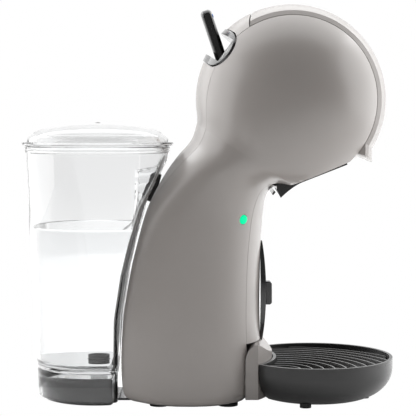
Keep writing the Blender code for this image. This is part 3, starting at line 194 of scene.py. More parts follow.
def finish(
    name,
    colour,
    rough,
    metal=0.0,
    coat=0.0,
    coat_rough=0.06,
    vary=0.04,
    grain=900.0,
    depth=0.02 * mm,
    stretch=(1, 1, 1),
):
    """A finish with its own gloss variation, colour variation and fine relief."""
    made = bpy.data.materials.new(name)
    made.use_nodes = True
    tree = made.node_tree
    shader = tree.nodes["Principled BSDF"]
    shader.inputs["Metallic"].default_value = metal
    shader.inputs["Coat Weight"].default_value = coat
    shader.inputs["Coat Roughness"].default_value = coat_rough
    tint = tree.nodes.new("ShaderNodeMix")
    tint.data_type = "RGBA"
    tint.inputs["A"].default_value = (*[c * (1 - vary) for c in colour], 1)
    tint.inputs["B"].default_value = (*[min(1, c * (1 + vary)) for c in colour], 1)
    tree.links.new(noise(tree, 38.0), tint.inputs["Factor"])
    tree.links.new(tint.outputs["Result"], shader.inputs["Base Color"])
    gloss = ramp(tree, noise(tree, 60.0), rough * 0.85, min(1.0, rough * 1.15))
    tree.links.new(gloss, shader.inputs["Roughness"])
    relief = tree.nodes.new("ShaderNodeBump")
    relief.inputs["Strength"].default_value = 0.6
    relief.inputs["Distance"].default_value = depth
    tree.links.new(noise(tree, grain, 2.0, stretch), relief.inputs["Height"])
    tree.links.new(relief.outputs["Normal"], shader.inputs["Normal"])
    return made


def dress(piece, look):
    """Gives a piece one finish."""
    piece.data.materials.clear()
    piece.data.materials.append(look)


print("one helper makes every moulded and metal finish")

# %% [markdown]
# The casing is a warm grey-brown plastic under a clear gloss. The black parts are the same
# plastic in black. Works inside the casing get plainer finishes, because they show only
# through the open seams and under the head.

# %% Finishes
MOULDED = {"grain": 500, "depth": 0.01 * mm}
TAUPE = finish("casing_taupe", (0.262, 0.240, 0.226), 0.42, coat=0.5, coat_rough=0.24, vary=0.015, **MOULDED)
GLOSS_BLACK = finish("gloss_black", (0.005, 0.005, 0.005), 0.26, coat=0.5, **MOULDED)
TRAY_BLACK = finish("tray_black", (0.007, 0.007, 0.007), 0.34, coat=0.1, grain=1400, depth=0.03 * mm)
GRID_BLACK = finish("grid_black", (0.006, 0.006, 0.006), 0.30, grain=1600, depth=0.04 * mm)
# The ridges' lighter grey is painted highlight: the ridges are black like the grid, and this grey stands in
# for the light caught along their edges.
RIDGE_PAINTED_HIGHLIGHT = finish("ridge_painted_highlight", (0.06, 0.06, 0.06), 0.35, coat=0.3, grain=1400, depth=0.03 * mm)
CHARCOAL = finish("charcoal_plastic", (0.022, 0.022, 0.022), 0.45, grain=1500, depth=0.015 * mm)
INNER_GREY = finish("inner_grey", (0.09, 0.09, 0.095), 0.55, grain=1200, depth=0.05 * mm)
RUBBER = finish("foot_rubber", (0.018, 0.018, 0.018), 0.82, vary=0.1, grain=2200, depth=0.06 * mm)
SILICONE = finish("hose_silicone", (0.62, 0.62, 0.60), 0.45, grain=1000, depth=0.03 * mm)
METAL = {"metal": 1.0, "grain": 700}
STEEL = finish("drawn_steel", (0.56, 0.56, 0.57), 0.28, stretch=(1, 1, 12), **METAL)
BRASS = finish("turned_brass", (0.58, 0.43, 0.18), 0.32, **METAL)
CAST = {"metal": 1.0, "vary": 0.08, "grain": 800, "depth": 0.1 * mm}
CAST_ALUMINIUM = finish("cast_aluminium", (0.48, 0.49, 0.50), 0.55, **CAST)
WOUND = {"metal": 1.0, "grain": 400, "depth": 0.1 * mm, "stretch": (1, 1, 30)}
COPPER = finish("copper_winding", (0.58, 0.25, 0.12), 0.35, **WOUND)
LACQUER = {"coat": 0.3, "vary": 0.2, "grain": 300, "depth": 0.1 * mm}
CIRCUIT = finish("circuit_lacquer", (0.015, 0.13, 0.055), 0.4, **LACQUER)
BLUE = finish("printed_blue", (0.05, 0.22, 0.72), 0.35, vary=0.05)
RED = finish("printed_red", (0.66, 0.035, 0.025), 0.35, vary=0.05)

CARRIED_OVER = {
    "cold_hose hot_hose injector_hose injector_seal": SILICONE,
    "base_plate board_relay board_transformer button_switch pump_body": CHARCOAL,
    "internal_frame injector_plate": INNER_GREY,
    "handle_hinge_pin lever_pin injector_guide_left injector_guide_right": STEEL,
    "injection_needle heater_thermostat": STEEL,
    "heater_block": CAST_ALUMINIUM,
    "pump_coil": COPPER,
    "selector_valve": BRASS,
    "control_board": CIRCUIT,
    "base_foot_1 base_foot_2 base_foot_3 base_foot_4 pump_mount_lower pump_mount_upper": RUBBER,
    "underside_cover_left underside_cover_right front_rail rail_hook lever_housing": GLOSS_BLACK,
    "selector_lever": GLOSS_BLACK,
    "pod_holder tank_base tank_valve tank_filter": CHARCOAL,
    "cold_mark": BLUE,
    "hot_mark": RED,
    "drip_tray": TRAY_BLACK,
    "drip_grid": GRID_BLACK,
    "side_shell_left side_shell_right front_panel rear_cover": TAUPE,
    "top_cover locking_handle tray_cradle": TAUPE,
}
for names, look in CARRIED_OVER.items():
    for name in names.split():
        dress(nodes[name], look)
print("carried-over solids dressed:", sum(len(names.split()) for names in CARRIED_OVER))

# %% [markdown]
# Clear plastic and water are both made with transmission. Water bends light less than the
# tank's wall does, and both keep a trace of roughness so their highlights stay soft.

# %% Clear plastic, water and the lit button
def clear(name, colour, bend, rough):
    """A see-through finish with slightly uneven gloss."""
    made = bpy.data.materials.new(name)
    made.use_nodes = True
    tree = made.node_tree
    shader = tree.nodes["Principled BSDF"]
    shader.inputs["Base Color"].default_value = (*colour, 1)
    shader.inputs["Transmission Weight"].default_value = 1.0
    shader.inputs["IOR"].default_value = bend
    gloss = ramp(tree, noise(tree, 25.0), rough * 0.7, rough * 1.3)
    tree.links.new(gloss, shader.inputs["Roughness"])
    return made


CLEAR_PLASTIC = clear("clear_plastic", (0.985, 0.988, 0.99), 1.42, 0.015)
WATER = clear("water", (0.975, 0.985, 0.99), 1.18, 0.005)

GREEN_LIGHT = finish("green_light", (0.0, 0.30, 0.14), 0.5, vary=0.03)
lit = GREEN_LIGHT.node_tree.nodes["Principled BSDF"]
lit.inputs["Emission Color"].default_value = (0.0, 0.84, 0.37, 1)
lit.inputs["Specular IOR Level"].default_value = 0.1
lit.inputs["Emission Strength"].default_value = 0.8
dress(nodes["water_tank"], CLEAR_PLASTIC)
dress(nodes["tank_lid"], CLEAR_PLASTIC)
dress(nodes["power_button"], GREEN_LIGHT)
print("see-through and lit finishes:", CLEAR_PLASTIC.name, WATER.name, GREEN_LIGHT.name)

# %% [markdown]
# ## The casing
#
# The casing is one flowing surface, from the foot through the neck into the round head, cut
# into a left shell, a right shell and a centre band. It is a loft: cross-sections are set
# along the body, and a smooth skin is stretched over them. Each section is a rounded oval
# between a rear point and a front point of the side view, so the side view is exact.

# %% The body's sections
HEAD = Vector((58.5 * mm, 0, 214 * mm))
HEAD_R = 67.2 * mm
HEAD_HALF_WIDTH = 66 * mm
HEAD_TILT = math.radians(56)
FOOT_Z, NECK_Z = 3.5 * mm, 140 * mm


def on_head(angle, radius):
    """The (x, z) of a point round the head's centre, with the angle in degrees from the front."""
    turn = math.radians(angle)
    return HEAD.x + radius * math.cos(turn), HEAD.z + radius * math.sin(turn)


def level_section(height, rear, front, half_width, flat):
    """A level section of the column: height is a share of the column's."""
    z = FOOT_Z + height * (NECK_Z - FOOT_Z)
    return Vector((rear * mm, z, front * mm, z, half_width * mm, 2.3, flat * mm))


def neck_section(rear_angle, rear_share, front_angle, front_share, half_width, power, flat):
    """A leaning section of the neck, given round the head's centre."""
    rear = on_head(rear_angle, rear_share * HEAD_R)
    front = on_head(front_angle, front_share * HEAD_R)
    return Vector((*rear, *front, half_width * mm, power, flat * mm))


def head_section(along):
    """The head's section at this distance along its leaning axis."""
    half = math.sqrt(max(HEAD_R**2 - along**2, 0.0))
    across = Vector((-math.sin(HEAD_TILT), 0, math.cos(HEAD_TILT))) * half
    middle = HEAD + Vector((math.cos(HEAD_TILT), 0, math.sin(HEAD_TILT))) * along
    share = (along / HEAD_R) ** 2
    width = HEAD_HALF_WIDTH * (math.sqrt(max(1 - share, 0.0)) if along > 0 else 1 - 0.246 * share)
    rear, front = middle + across, middle - across
    return Vector((rear.x, rear.z, front.x, front.z, width, 2.0, 0.0))


BODY = [
    level_section(0.000, -47.0, 30.5, 46.0, 34.0),
    level_section(0.022, -54.5, 34.8, 49.0, 38.0),
    level_section(0.070, -58.8, 37.4, 50.8, 40.0),
    level_section(0.230, -60.0, 37.6, 51.0, 40.0),
    level_section(0.440, -58.4, 36.8, 51.0, 40.0),
    level_section(0.650, -54.0, 37.0, 50.5, 39.0),
    level_section(0.810, -49.0, 37.7, 50.5, 38.0),
    Vector((-41.5 * mm, NECK_Z, 39.0 * mm, 134 * mm, 51 * mm, 2.3, 34.5 * mm)),
    neck_section(211.0, 1.560, 255.6, 1.045, 52.5, 2.3, 24.0),
    neck_section(206.7, 1.340, 258.2, 0.943, 54.5, 2.2, 12.0),
    neck_section(202.0, 1.130, 266.7, 0.900, 56.5, 2.1, 0.0),
    neck_section(193.6, 1.015, 278.0, 0.965, 58.0, 2.05, 0.0),
]
print("set sections:", len(BODY))

# %% [markdown]
# Between two set sections the body follows a smooth curve through all of them (a
# Catmull-Rom curve). The head continues it as a true ellipsoid to its far pole.

# %% Many sections from a few
def curve_between(values, index, steps):
    """Steps of a smooth curve from values[index] towards the next value."""
    before, start = values[max(index - 1, 0)], values[index]
    end, after = values[index + 1], values[min(index + 2, len(values) - 1)]
    found = []
    for step in range(steps):
        t = step / steps
        bend = (2 * before - 5 * start + 4 * end - after) * t * t
        turn = (3 * start - before - 3 * end + after) * t**3
        found.append(0.5 * (2 * start + (end - before) * t + bend + turn))
    return found


def body_sections(column_steps, head_steps):
    """Sections from the foot to the head's pole."""
    first = math.acos(0.62)
    turns = [first + (math.pi - first) * step / head_steps for step in range(head_steps + 1)]
    heads = [head_section(-HEAD_R * math.cos(turn)) for turn in turns]
    found = []
    for index in range(len(BODY) - 1):
        found += curve_between(BODY, index, column_steps)
    joined = [BODY[-2], BODY[-1], heads[0], heads[1]]
    found += curve_between(joined, 1, 3)
    return found + heads


def half_oval(section, arc_points, flat_points=3):
    """The left half of a section, from the middle of its rear to the middle of its front."""
    rear, front = Vector((section[0], 0, section[1])), Vector((section[2], 0, section[3]))
    half_width, power, flat = section[4], section[5], max(section[6], 0.0)
    if half_width < 1e-6:
        return [rear.copy() for _ in range(arc_points + flat_points + 1)]
    across = (front - rear).normalized()
    corner = math.asin(min(1.0, (flat / half_width) ** (power / 2)))
    half_length = (front - rear).length / (1 + math.cos(corner) ** (2 / power))
    middle = front - across * half_length
    found = [rear + Vector((0, flat * step / flat_points, 0)) for step in range(flat_points)]
    for step in range(arc_points + 1):
        turn = (math.pi - corner) * (1 - step / arc_points)
        x = math.copysign(abs(math.cos(turn)) ** (2 / power), math.cos(turn))
        y = math.sin(turn) ** (2 / power) if 0 < turn < math.pi else 0.0
        found.append(middle + across * (half_length * x) + Vector((0, half_width * y, 0)))
    return found


COLUMN_STEPS, HEAD_STEPS, ARC_POINTS = 9, 30, 44
SECTIONS = body_sections(COLUMN_STEPS, HEAD_STEPS)
print("sections in the skin:", len(SECTIONS))

# %% [markdown]
# A skin is made by drawing each section as a chain of edges and bridging each chain to the
# next. Planes then cut the skin along the seams, a wall is added on its inside, and the cut
# is closed flat, so two neighbouring pieces keep an even gap.

# %% Skin, seam cuts and wall
WALL = 2.4 * mm
BODY_INSIDE = Vector((-5 * mm, 0, 90 * mm))


def skin(rings, closed=False):
    """A skin bridged over chains of points with equal counts."""
    bm = bmesh.new()
    chains = []
    for ring in rings:
        points = [bm.verts.new(point) for point in ring]
        pairs = list(zip(points, points[1:]))
        if closed:
            pairs.append((points[-1], points[0]))
        chains.append([bm.edges.new(pair) for pair in pairs])
    for low, high in zip(chains, chains[1:]):
        bmesh.ops.bridge_loops(bm, edges=low + high)
    bmesh.ops.remove_doubles(bm, verts=bm.verts, dist=2e-6)
    return bm


def keep(bm, point, normal, close=False):
    """Cuts by a plane and keeps what the normal points to."""
    cut = bmesh.ops.bisect_plane(
        bm,
        geom=[*bm.verts, *bm.edges, *bm.faces],
        plane_co=point,
        plane_no=normal,
        clear_inner=True,
        dist=1e-7,
    )
    if close:
        rim = [item for item in cut["geom_cut"] if isinstance(item, bmesh.types.BMEdge)]
        bmesh.ops.holes_fill(bm, edges=rim)


def face_out(bm, inside):
    """Turns an open skin's faces away from a point inside it."""
    bmesh.ops.recalc_face_normals(bm, faces=bm.faces)
    out = sum((f.calc_center_median() - inside).dot(f.normal) * f.calc_area() for f in bm.faces)
    if out < 0:
        bmesh.ops.reverse_faces(bm, faces=bm.faces)
    return bm


def wall_inside(bm):
    """Gives an open skin the casing's wall on its inside."""
    bmesh.ops.solidify(bm, geom=bm.faces, thickness=WALL)
    bmesh.ops.recalc_face_normals(bm, faces=bm.faces)


def capped(bm):
    """Fills the open ends of a bridged skin and turns its faces outwards."""
    bmesh.ops.holes_fill(bm, edges=[edge for edge in bm.edges if edge.is_boundary])
    bmesh.ops.recalc_face_normals(bm, faces=bm.faces)
    return bm


print("wall of the casing:", round(WALL / mm, 2), "mm")

# %% [markdown]
# Openings are cut with Booleans, whose cutters are removed once their cut is applied. Every
# cut edge then gets a small rounding, because a moulded edge is never sharp and its
# highlight is what makes a seam look real.

# %% Turning a bmesh into a finished piece
def as_object(name, bm):
    data = bpy.data.meshes.new(name)
    bm.to_mesh(data)
    bm.free()
    made = bpy.data.objects.new(name, data)
    bpy.context.scene.collection.objects.link(made)
    return made


def cut_with(piece, cutter, operation="DIFFERENCE"):
    """Applies one Boolean and removes its cutter."""
    step = piece.modifiers.new("cut", "BOOLEAN")
    step.operation = operation
    step.object = cutter
    bpy.context.view_layer.update()
    done = bpy.data.meshes.new_from_object(piece.evaluated_get(bpy.context.evaluated_depsgraph_get()))
    piece.modifiers.clear()
    piece.data = done
    bpy.data.objects.remove(cutter)


def merge_slivers(piece):
    """Merges the tiny edges that Booleans leave, because each one would pinch the rounding."""
    bm = bmesh.new()
    bm.from_mesh(piece.data)
    bmesh.ops.remove_doubles(bm, verts=bm.verts, dist=0.04 * mm)
    bmesh.ops.dissolve_degenerate(bm, edges=bm.edges, dist=0.02 * mm)
    bm.to_mesh(piece.data)
    bm.free()


def round_edges(piece, width, segments=3, angle=38):
    """Rounds sharp edges and keeps the flats and curves beside them evenly shaded."""
    if width:
        merge_slivers(piece)
    piece.data.shade_smooth()
    if width:
        edge = piece.modifiers.new("rounded_edges", "BEVEL")
        edge.width = width
        edge.segments = segments
        edge.limit_method = "ANGLE"
        edge.angle_limit = math.radians(angle)
        edge.use_clamp_overlap = True
    even = piece.modifiers.new("even_shading", "WEIGHTED_NORMAL")
    even.keep_sharp = True
    return piece


def place(piece, look, body, slot, *stands_for):
    """Gives a piece its finish and its body, and hides what it stands for. The slot argument is not used."""
    dress(piece, look)
    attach(piece, body)
    if stands_for:
        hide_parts(*stands_for)


print("each piece is cut, rounded, dressed and set on its body")

# %% [markdown]
# Three openings are shared. The lever's housing sits in a long rounded slot across the top
# of the head. The underside of the head is sliced by a sloping plane, and the drip tray's
# cradle takes a block out of the column's foot.

# %% Cutters shared by the casing
LEVER_ANGLE = math.radians(144.5)
SEAM = 0.35 * mm


def extruded(spots, rise):
    """A flat outline grown along rise into a solid."""
    bm = bmesh.new()
    face = bm.faces.new([bm.verts.new(spot) for spot in spots])
    grown = bmesh.ops.extrude_face_region(bm, geom=[face])
    moved = [item for item in grown["geom"] if isinstance(item, bmesh.types.BMVert)]
    bmesh.ops.translate(bm, verts=moved, vec=rise)
    bmesh.ops.recalc_face_normals(bm, faces=bm.faces)
    return bm


def prism(name, outline, low, high, plane="XZ"):
    """A solid with this outline, from low to high on the third axis."""
    spots = [(a, low, b) if plane == "XZ" else (a, b, low) for a, b in outline]
    rise = Vector((0, high - low, 0)) if plane == "XZ" else Vector((0, 0, high - low))
    return as_object(name, extruded(spots, rise))


def lever_axes():
    """Z outwards from the head's centre through the lever, Y across the machine."""
    outward = Vector((math.cos(LEVER_ANGLE), 0, math.sin(LEVER_ANGLE)))
    along = Vector((math.sin(LEVER_ANGLE), 0, -math.cos(LEVER_ANGLE)))
    across = outward.cross(along)
    return Matrix.Translation(HEAD) @ Matrix((along, across, outward)).transposed().to_4x4()


def slot_outline(half_length, half_width, steps=24):
    """A slot with round ends, long in Y."""
    straight = half_length - half_width
    found = []
    for sign in (1, -1):
        for step in range(steps + 1):
            turn = math.pi * step / steps
            x = sign * half_width * math.cos(turn)
            found.append((x, sign * (straight + half_width * math.sin(turn))))
    return found


def lever_slot():
    cutter = prism("lever_slot", slot_outline(40 * mm + SEAM, 14 * mm + SEAM), 30 * mm, 90 * mm, "XY")
    cutter.matrix_world = lever_axes()
    return cutter


def under_height(x):
    """Height of the head's sloping underside."""
    return 152 * mm + (x - 48.9 * mm) * 19 / 48.3


def under_slice():
    outline = [(46.9 * mm, under_height(46.9 * mm)), (47.2 * mm, 120 * mm), (150 * mm, 120 * mm)]
    outline.append((150 * mm, under_height(150 * mm)))
    return prism("under_slice", outline, -90 * mm, 90 * mm)


def cradle_block(grow):
    """The tray's cradle from the side, with a rounded rear top corner."""
    rear, front, corner = 26 * mm - grow, 45.9 * mm + grow, 8 * mm + grow
    low, top = 5.7 * mm - grow, 44 * mm + grow
    outline = [(rear, low), (front, low), (front, top - 9 * mm), (36 * mm, top)]
    for step in range(9):
        turn = math.pi / 2 * (1 + step / 8)
        outline.append((rear + corner + corner * math.cos(turn), top - 1.5 * corner * (1 - math.sin(turn))))
    return prism("cradle_block", outline, -36.9 * mm - grow, 36.9 * mm + grow)


print("gap left round a fitted piece:", round(SEAM / mm, 2), "mm")

# %% [markdown]
# The two shells mirror each other. Only the right one has the hole for the power button,
# which points along the curved surface's own outward direction.

# %% Side shells
SHELL_Y, BAND_Y, VISOR_Y = 33.35 * mm, 33.05 * mm, 32.65 * mm


def side_shell(name, sign):
    rings = [[Vector((p.x, sign * p.y, p.z)) for p in half_oval(s, ARC_POINTS)] for s in SECTIONS]
    bm = skin(rings)
    keep(bm, (0, sign * 28 * mm, 0), (0, sign, 0))
    wall_inside(face_out(bm, BODY_INSIDE))
    keep(bm, (0, sign * SHELL_Y, 0), (0, sign, 0), close=True)
    bmesh.ops.recalc_face_normals(bm, faces=bm.faces)
    shell = as_object(f"{name}_casing", bm)
    for cutter in (lever_slot(), cradle_block(SEAM), under_slice()):
        cut_with(shell, cutter)
    return shell


def button_axes():
    """The power button's place on the right shell, with Z pointing outwards."""
    outward = Vector((0.60, -0.79, -0.12)).normalized()
    turn = Vector((0, 0, 1)).rotation_difference(outward).to_matrix().to_4x4()
    return Matrix.Translation((24.4 * mm, -39.9 * mm, 131.8 * mm)) @ turn


def round_bar(name, radius, low, high, at, segments=64):
    bm = bmesh.new()
    middle = at @ Matrix.Translation((0, 0, (low + high) / 2))
    bmesh.ops.create_cone(
        bm,
        cap_ends=True,
        segments=segments,
        radius1=radius,
        radius2=radius,
        depth=high - low,
        matrix=middle,
    )
    return as_object(name, bm)


left_shell = side_shell("left", 1)
right_shell = side_shell("right", -1)
cut_with(right_shell, round_bar("button_hole", 3.55 * mm, -8 * mm, 8 * mm, button_axes()))
for shell, stands_for in ((left_shell, "side_shell_left"), (right_shell, "side_shell_right")):
    round_edges(shell, 0.55 * mm)
    place(shell, TAUPE, "body", "casing_plastic", stands_for)
    print(shell.name, len(shell.data.polygons), "faces")

# %% [markdown]
# The centre band closes the gap between the shells: a front panel on the column, a rear
# cover from the foot up to the lever, a short top cover, and the locking handle. Its edges
# are rounded more than the shells' are, which gives the light line beside each seam.

# %% Front panel and rear cover
def band_piece(name, rings, cuts):
    bm = skin(rings)
    for sign in (1, -1):
        keep(bm, (0, sign * 38 * mm, 0), (0, -sign, 0))
    wall_inside(face_out(bm, BODY_INSIDE))
    for point, normal in [((0, BAND_Y, 0), (0, -1, 0)), ((0, -BAND_Y, 0), (0, 1, 0)), *cuts]:
        keep(bm, point, normal, close=True)
    bmesh.ops.recalc_face_normals(bm, faces=bm.faces)
    return as_object(name, bm)


def both_sides(half):
    return [Vector((p.x, -p.y, p.z)) for p in reversed(half[1:])] + half


rear_rings = [both_sides(half_oval(s, ARC_POINTS)[:26]) for s in SECTIONS[:-14]]
rear_top = on_head(150.5, HEAD_R)
rear_cuts = [
    ((0, 0, 5.7 * mm), (0, 0, 1)),
    ((rear_top[0], 0, rear_top[1]), (-math.sin(LEVER_ANGLE), 0, math.cos(LEVER_ANGLE))),
]
rear_cover = band_piece("rear_band", rear_rings, rear_cuts)
cut_with(rear_cover, lever_slot())
inlet = Matrix.Translation((0, 0, 12.5 * mm)) @ Matrix.Rotation(math.radians(90), 4, "Y")
cut_with(rear_cover, round_bar("inlet_hole", 4.2 * mm, -80 * mm, -40 * mm, inlet))
round_edges(rear_cover, 1.3 * mm, 4)
place(rear_cover, TAUPE, "body", "casing_plastic", "rear_cover")

FRONT_TOP = 9 * COLUMN_STEPS + 5
front_rings = [both_sides(list(reversed(half_oval(s, ARC_POINTS)[-24:]))) for s in SECTIONS[:FRONT_TOP]]
front_panel = band_piece("front_band", front_rings, [((0, 0, 44.35 * mm), (0, 0, 1))])
cut_with(front_panel, under_slice())
round_edges(front_panel, 1.3 * mm, 4)
place(front_panel, TAUPE, "body", "casing_plastic", "front_panel")
print("rear", len(rear_cover.data.polygons), "front", len(front_panel.data.polygons))

# %% [markdown]
# The locking handle is the front and top of the band, swinging up about a hinge inside the
# head. Its crown stands a little proud between two chamfers, and at the front its lip drops
# straight down. Closed rings of points, one for each angle, are bridged from the rear edge
# round to the lip, and the two ends are then filled.

# %% Locking handle
HANDLE_REAR, HANDLE_LIP, LIP_START = 113.5, -37.6, -12.0
CHAMFER_IN, CHAMFER_RISE = 2.6 * mm, 3.0 * mm


def handle_radius(angle):
    """The handle follows the head, and in front its lip drops straight down."""
    drop = 57.6 * mm / math.cos(math.radians(angle)) if angle < 0 else 0.0
    return max(HEAD_R, drop)


def squeezed(radius, y):
    """The head's own radius in a plane at y."""
    return radius * math.sqrt(1 - (y / HEAD_HALF_WIDTH) ** 2)


def handle_ring(angle):
    """One closed ring: outer edge to outer edge, then back along the inside."""
    past = max(0.0, (LIP_START - angle) / (LIP_START - HANDLE_LIP))
    outer = handle_radius(angle)
    inner = HEAD_R - WALL - past * (HEAD_R - WALL - 57.3 * mm)
    inner_angle = angle - past * 6.5
    edge = squeezed(outer, VISOR_Y)
    shoulder, shoulder_y = edge + CHAMFER_RISE, VISOR_Y - CHAMFER_IN
    places = [(-VISOR_Y, edge)]
    for step in range(17):
        y = shoulder_y * (step / 8 - 1)
        places.append((y, outer - (outer - shoulder) * abs(y / shoulder_y) ** 2.2))
    places.append((VISOR_Y, edge))
    ring = []
    for y, radius in places:
        x, z = on_head(angle, radius)
        ring.append(Vector((x, y, z)))
    for y, radius in reversed(places):
        x, z = on_head(inner_angle, squeezed(inner, y))
        ring.append(Vector((x, y, z)))
    return ring


def locking_handle():
    rear = HANDLE_REAR + 9
    turns = [rear + (HANDLE_LIP - rear) * step / 120 for step in range(121)]
    return as_object("locking_visor", capped(skin([handle_ring(turn) for turn in turns], closed=True)))


visor = locking_handle()
print("visor faces before its rear edge is cut:", len(visor.data.polygons))

# %% [markdown]
# Many pieces here are turned or square: bars, bores, knuckles, the tray and the lid. A
# profile spun about an axis makes the first kind and a stretched cube the second. Both are
# placed by a matrix, so a leaning piece is as easy as an upright one.

# %% Turned pieces and boxes
HINGE = Vector((*on_head(103, 53.5 * mm),))


def turned(name, profile, at, steps=96):
    """A turned piece: a closed profile of (radius, height) spun about its own Z."""
    bm = bmesh.new()
    points = [bm.verts.new((radius, 0, height)) for radius, height in profile]
    edges = [bm.edges.new(pair) for pair in zip(points, points[1:])]
    if profile[0][0] > 0:
        edges.append(bm.edges.new((points[-1], points[0])))
    bmesh.ops.spin(
        bm,
        geom=[*points, *edges],
        cent=(0, 0, 0),
        axis=(0, 0, 1),
        angle=math.tau,
        steps=steps,
        use_merge=True,
    )
    bmesh.ops.remove_doubles(bm, verts=bm.verts, dist=2e-6)
    bmesh.ops.recalc_face_normals(bm, faces=bm.faces)
    bmesh.ops.transform(bm, matrix=at, verts=bm.verts)
    return as_object(name, bm)


def hinge_axes(y=0.0):
    turn = Matrix.Rotation(math.radians(-90), 4, "X")
    return Matrix.Translation((HINGE.x, y, HINGE.y)) @ turn


def block(name, low, high, at=Matrix.Identity(4)):
    """A box between two corners."""
    bm = bmesh.new()
    size = Vector(high) - Vector(low)
    middle = (Vector(high) + Vector(low)) / 2
    stretched = at @ Matrix.Translation(middle) @ Matrix.Diagonal((*size, 1))
    bmesh.ops.create_cube(bm, size=1.0, matrix=stretched)
    return as_object(name, bm)


print("hinge at", [round(value / mm, 1) for value in HINGE], "mm")

# %% [markdown]
# The handle's rear edge is an arc about the hinge, so the joint beside it stays equally
# narrow while it swings. Two knuckles hang from its inside and turn on the pin.

# %% Rear edge and hinge knuckles
rear_x, rear_z = on_head(HANDLE_REAR, HEAD_R)
HANDLE_REACH = math.hypot(rear_x - HINGE.x, rear_z - HINGE.y)
behind = block("behind_handle", (-20 * mm, -60 * mm, 235 * mm), (40 * mm, 60 * mm, 300 * mm))
cut_with(behind, round_bar("handle_reach", HANDLE_REACH, -80 * mm, 80 * mm, hinge_axes(), 160))
cut_with(visor, behind)
round_edges(visor, 0.4 * mm, angle=19)
place(visor, TAUPE, "handle", "casing_plastic", "locking_handle")
print("visor faces:", len(visor.data.polygons))

for side, sign in (("left", 1), ("right", -1)):
    tube = [(4.6 * mm, -4 * mm), (4.6 * mm, 4 * mm), (2.05 * mm, 4 * mm), (2.05 * mm, -4 * mm)]
    knuckle = turned(f"handle_knuckle_{side}", tube, hinge_axes(sign * 16 * mm), 48)
    outward = Matrix.Translation((HINGE.x, sign * 16 * mm, HINGE.y))
    outward @= Matrix.Rotation(math.radians(-13), 4, "Y")
    web = block("knuckle_web", (-2.6 * mm, -3.9 * mm, 3.8 * mm), (2.6 * mm, 3.9 * mm, 8.6 * mm), outward)
    cut_with(knuckle, web, "UNION")
    round_edges(knuckle, 0.3 * mm, 2)
    place(knuckle, TAUPE, "handle", "casing_plastic")

# %% [markdown]
# A short strip of band covers the top between the handle and the lever. A thin soft seal,
# turned about the hinge and trimmed to the head, closes the joint in front of it.

# %% Top cover and its seal
def trimmed_head(name, inset):
    bm = bmesh.new()
    size = (HEAD_R - inset, HEAD_HALF_WIDTH - inset, HEAD_R - inset, 1)
    at = Matrix.Translation(HEAD) @ Matrix.Diagonal(size)
    bmesh.ops.create_uvsphere(bm, u_segments=160, v_segments=96, radius=1.0, matrix=at)
    return as_object(name, bm)


def top_cover():
    """The short strip of band between the handle and the lever."""
    rings = []
    for step in range(25):
        angle = 107 + 33.5 * step / 24
        places = [BAND_Y * (count / 12 - 1) for count in range(25)]
        spots = [(*on_head(angle, squeezed(HEAD_R, y)), y) for y in places]
        rings.append([Vector((x, y, z)) for x, z, y in spots])
    bm = face_out(skin(rings), HEAD)
    wall_inside(bm)
    return as_object("top_band", bm)


cover = top_cover()
cut_with(cover, lever_slot())
swing = HANDLE_REACH + 0.7 * mm
cut_with(cover, round_bar("handle_swing", swing, -80 * mm, 80 * mm, hinge_axes(), 160))
round_edges(cover, 0.35 * mm)
place(cover, TAUPE, "body", "casing_plastic", "top_cover")
seal_ring = [(swing + 2 * mm, -31 * mm), (swing + 2 * mm, 31 * mm), (HANDLE_REACH + 0.15 * mm, 31 * mm)]
seal_ring.append((HANDLE_REACH + 0.15 * mm, -31 * mm))
seal = turned("cover_seal", seal_ring, hinge_axes(), 160)
cut_with(seal, trimmed_head("seal_top", 1.0 * mm), "INTERSECT")
cut_with(seal, block("seal_front", (36 * mm, -40 * mm, 200 * mm), (120 * mm, 40 * mm, 300 * mm)))
cut_with(seal, block("seal_foot", (-40 * mm, -40 * mm, 200 * mm), (60 * mm, 40 * mm, 260 * mm)))
round_edges(seal, 0.0)
place(seal, RUBBER, "body", "rubber")
print("top cover faces:", len(cover.data.polygons))

# %% [markdown]
# At the column's foot a taupe block carries the tray. Its front is hollowed to fit the round
# tray, and its top slopes down towards it.

# %% Tray cradle
TRAY_CENTRE = Vector((76.3 * mm, 0, 0))


def round_front(name, grow=0.0):
    """The round wall shared by the cradle and the tray."""
    at = Matrix.Translation((-21.4 * mm, 0, 0))
    return round_bar(name, 67.3 * mm + grow, -20 * mm, 90 * mm, at, 256)


cradle = cradle_block(0.0)
cradle.name = "tray_cradle_block"
cut_with(cradle, round_front("cradle_front"), "INTERSECT")
round_edges(cradle, 1.4 * mm, 4)
place(cradle, TAUPE, "body", "casing_plastic", "tray_cradle")
print("cradle faces:", len(cradle.data.polygons))

# %% [markdown]
# ## The selector lever
#
# The lever stands in a slot across a black housing. The housing is a long rounded block
# trimmed by an ellipsoid just above the head's surface. A wide channel runs across it, so
# its two long sides stand as ears in front of the lever and behind it.

# %% Lever housing
def lever_upright():
    """The lever's own axes: Z along the lever, X along its pin."""
    x, z = on_head(150.4, 56 * mm)
    lean = Matrix.Rotation(-math.radians(18.6), 4, "Y")
    return Matrix.Translation((x, 0, z)) @ lean


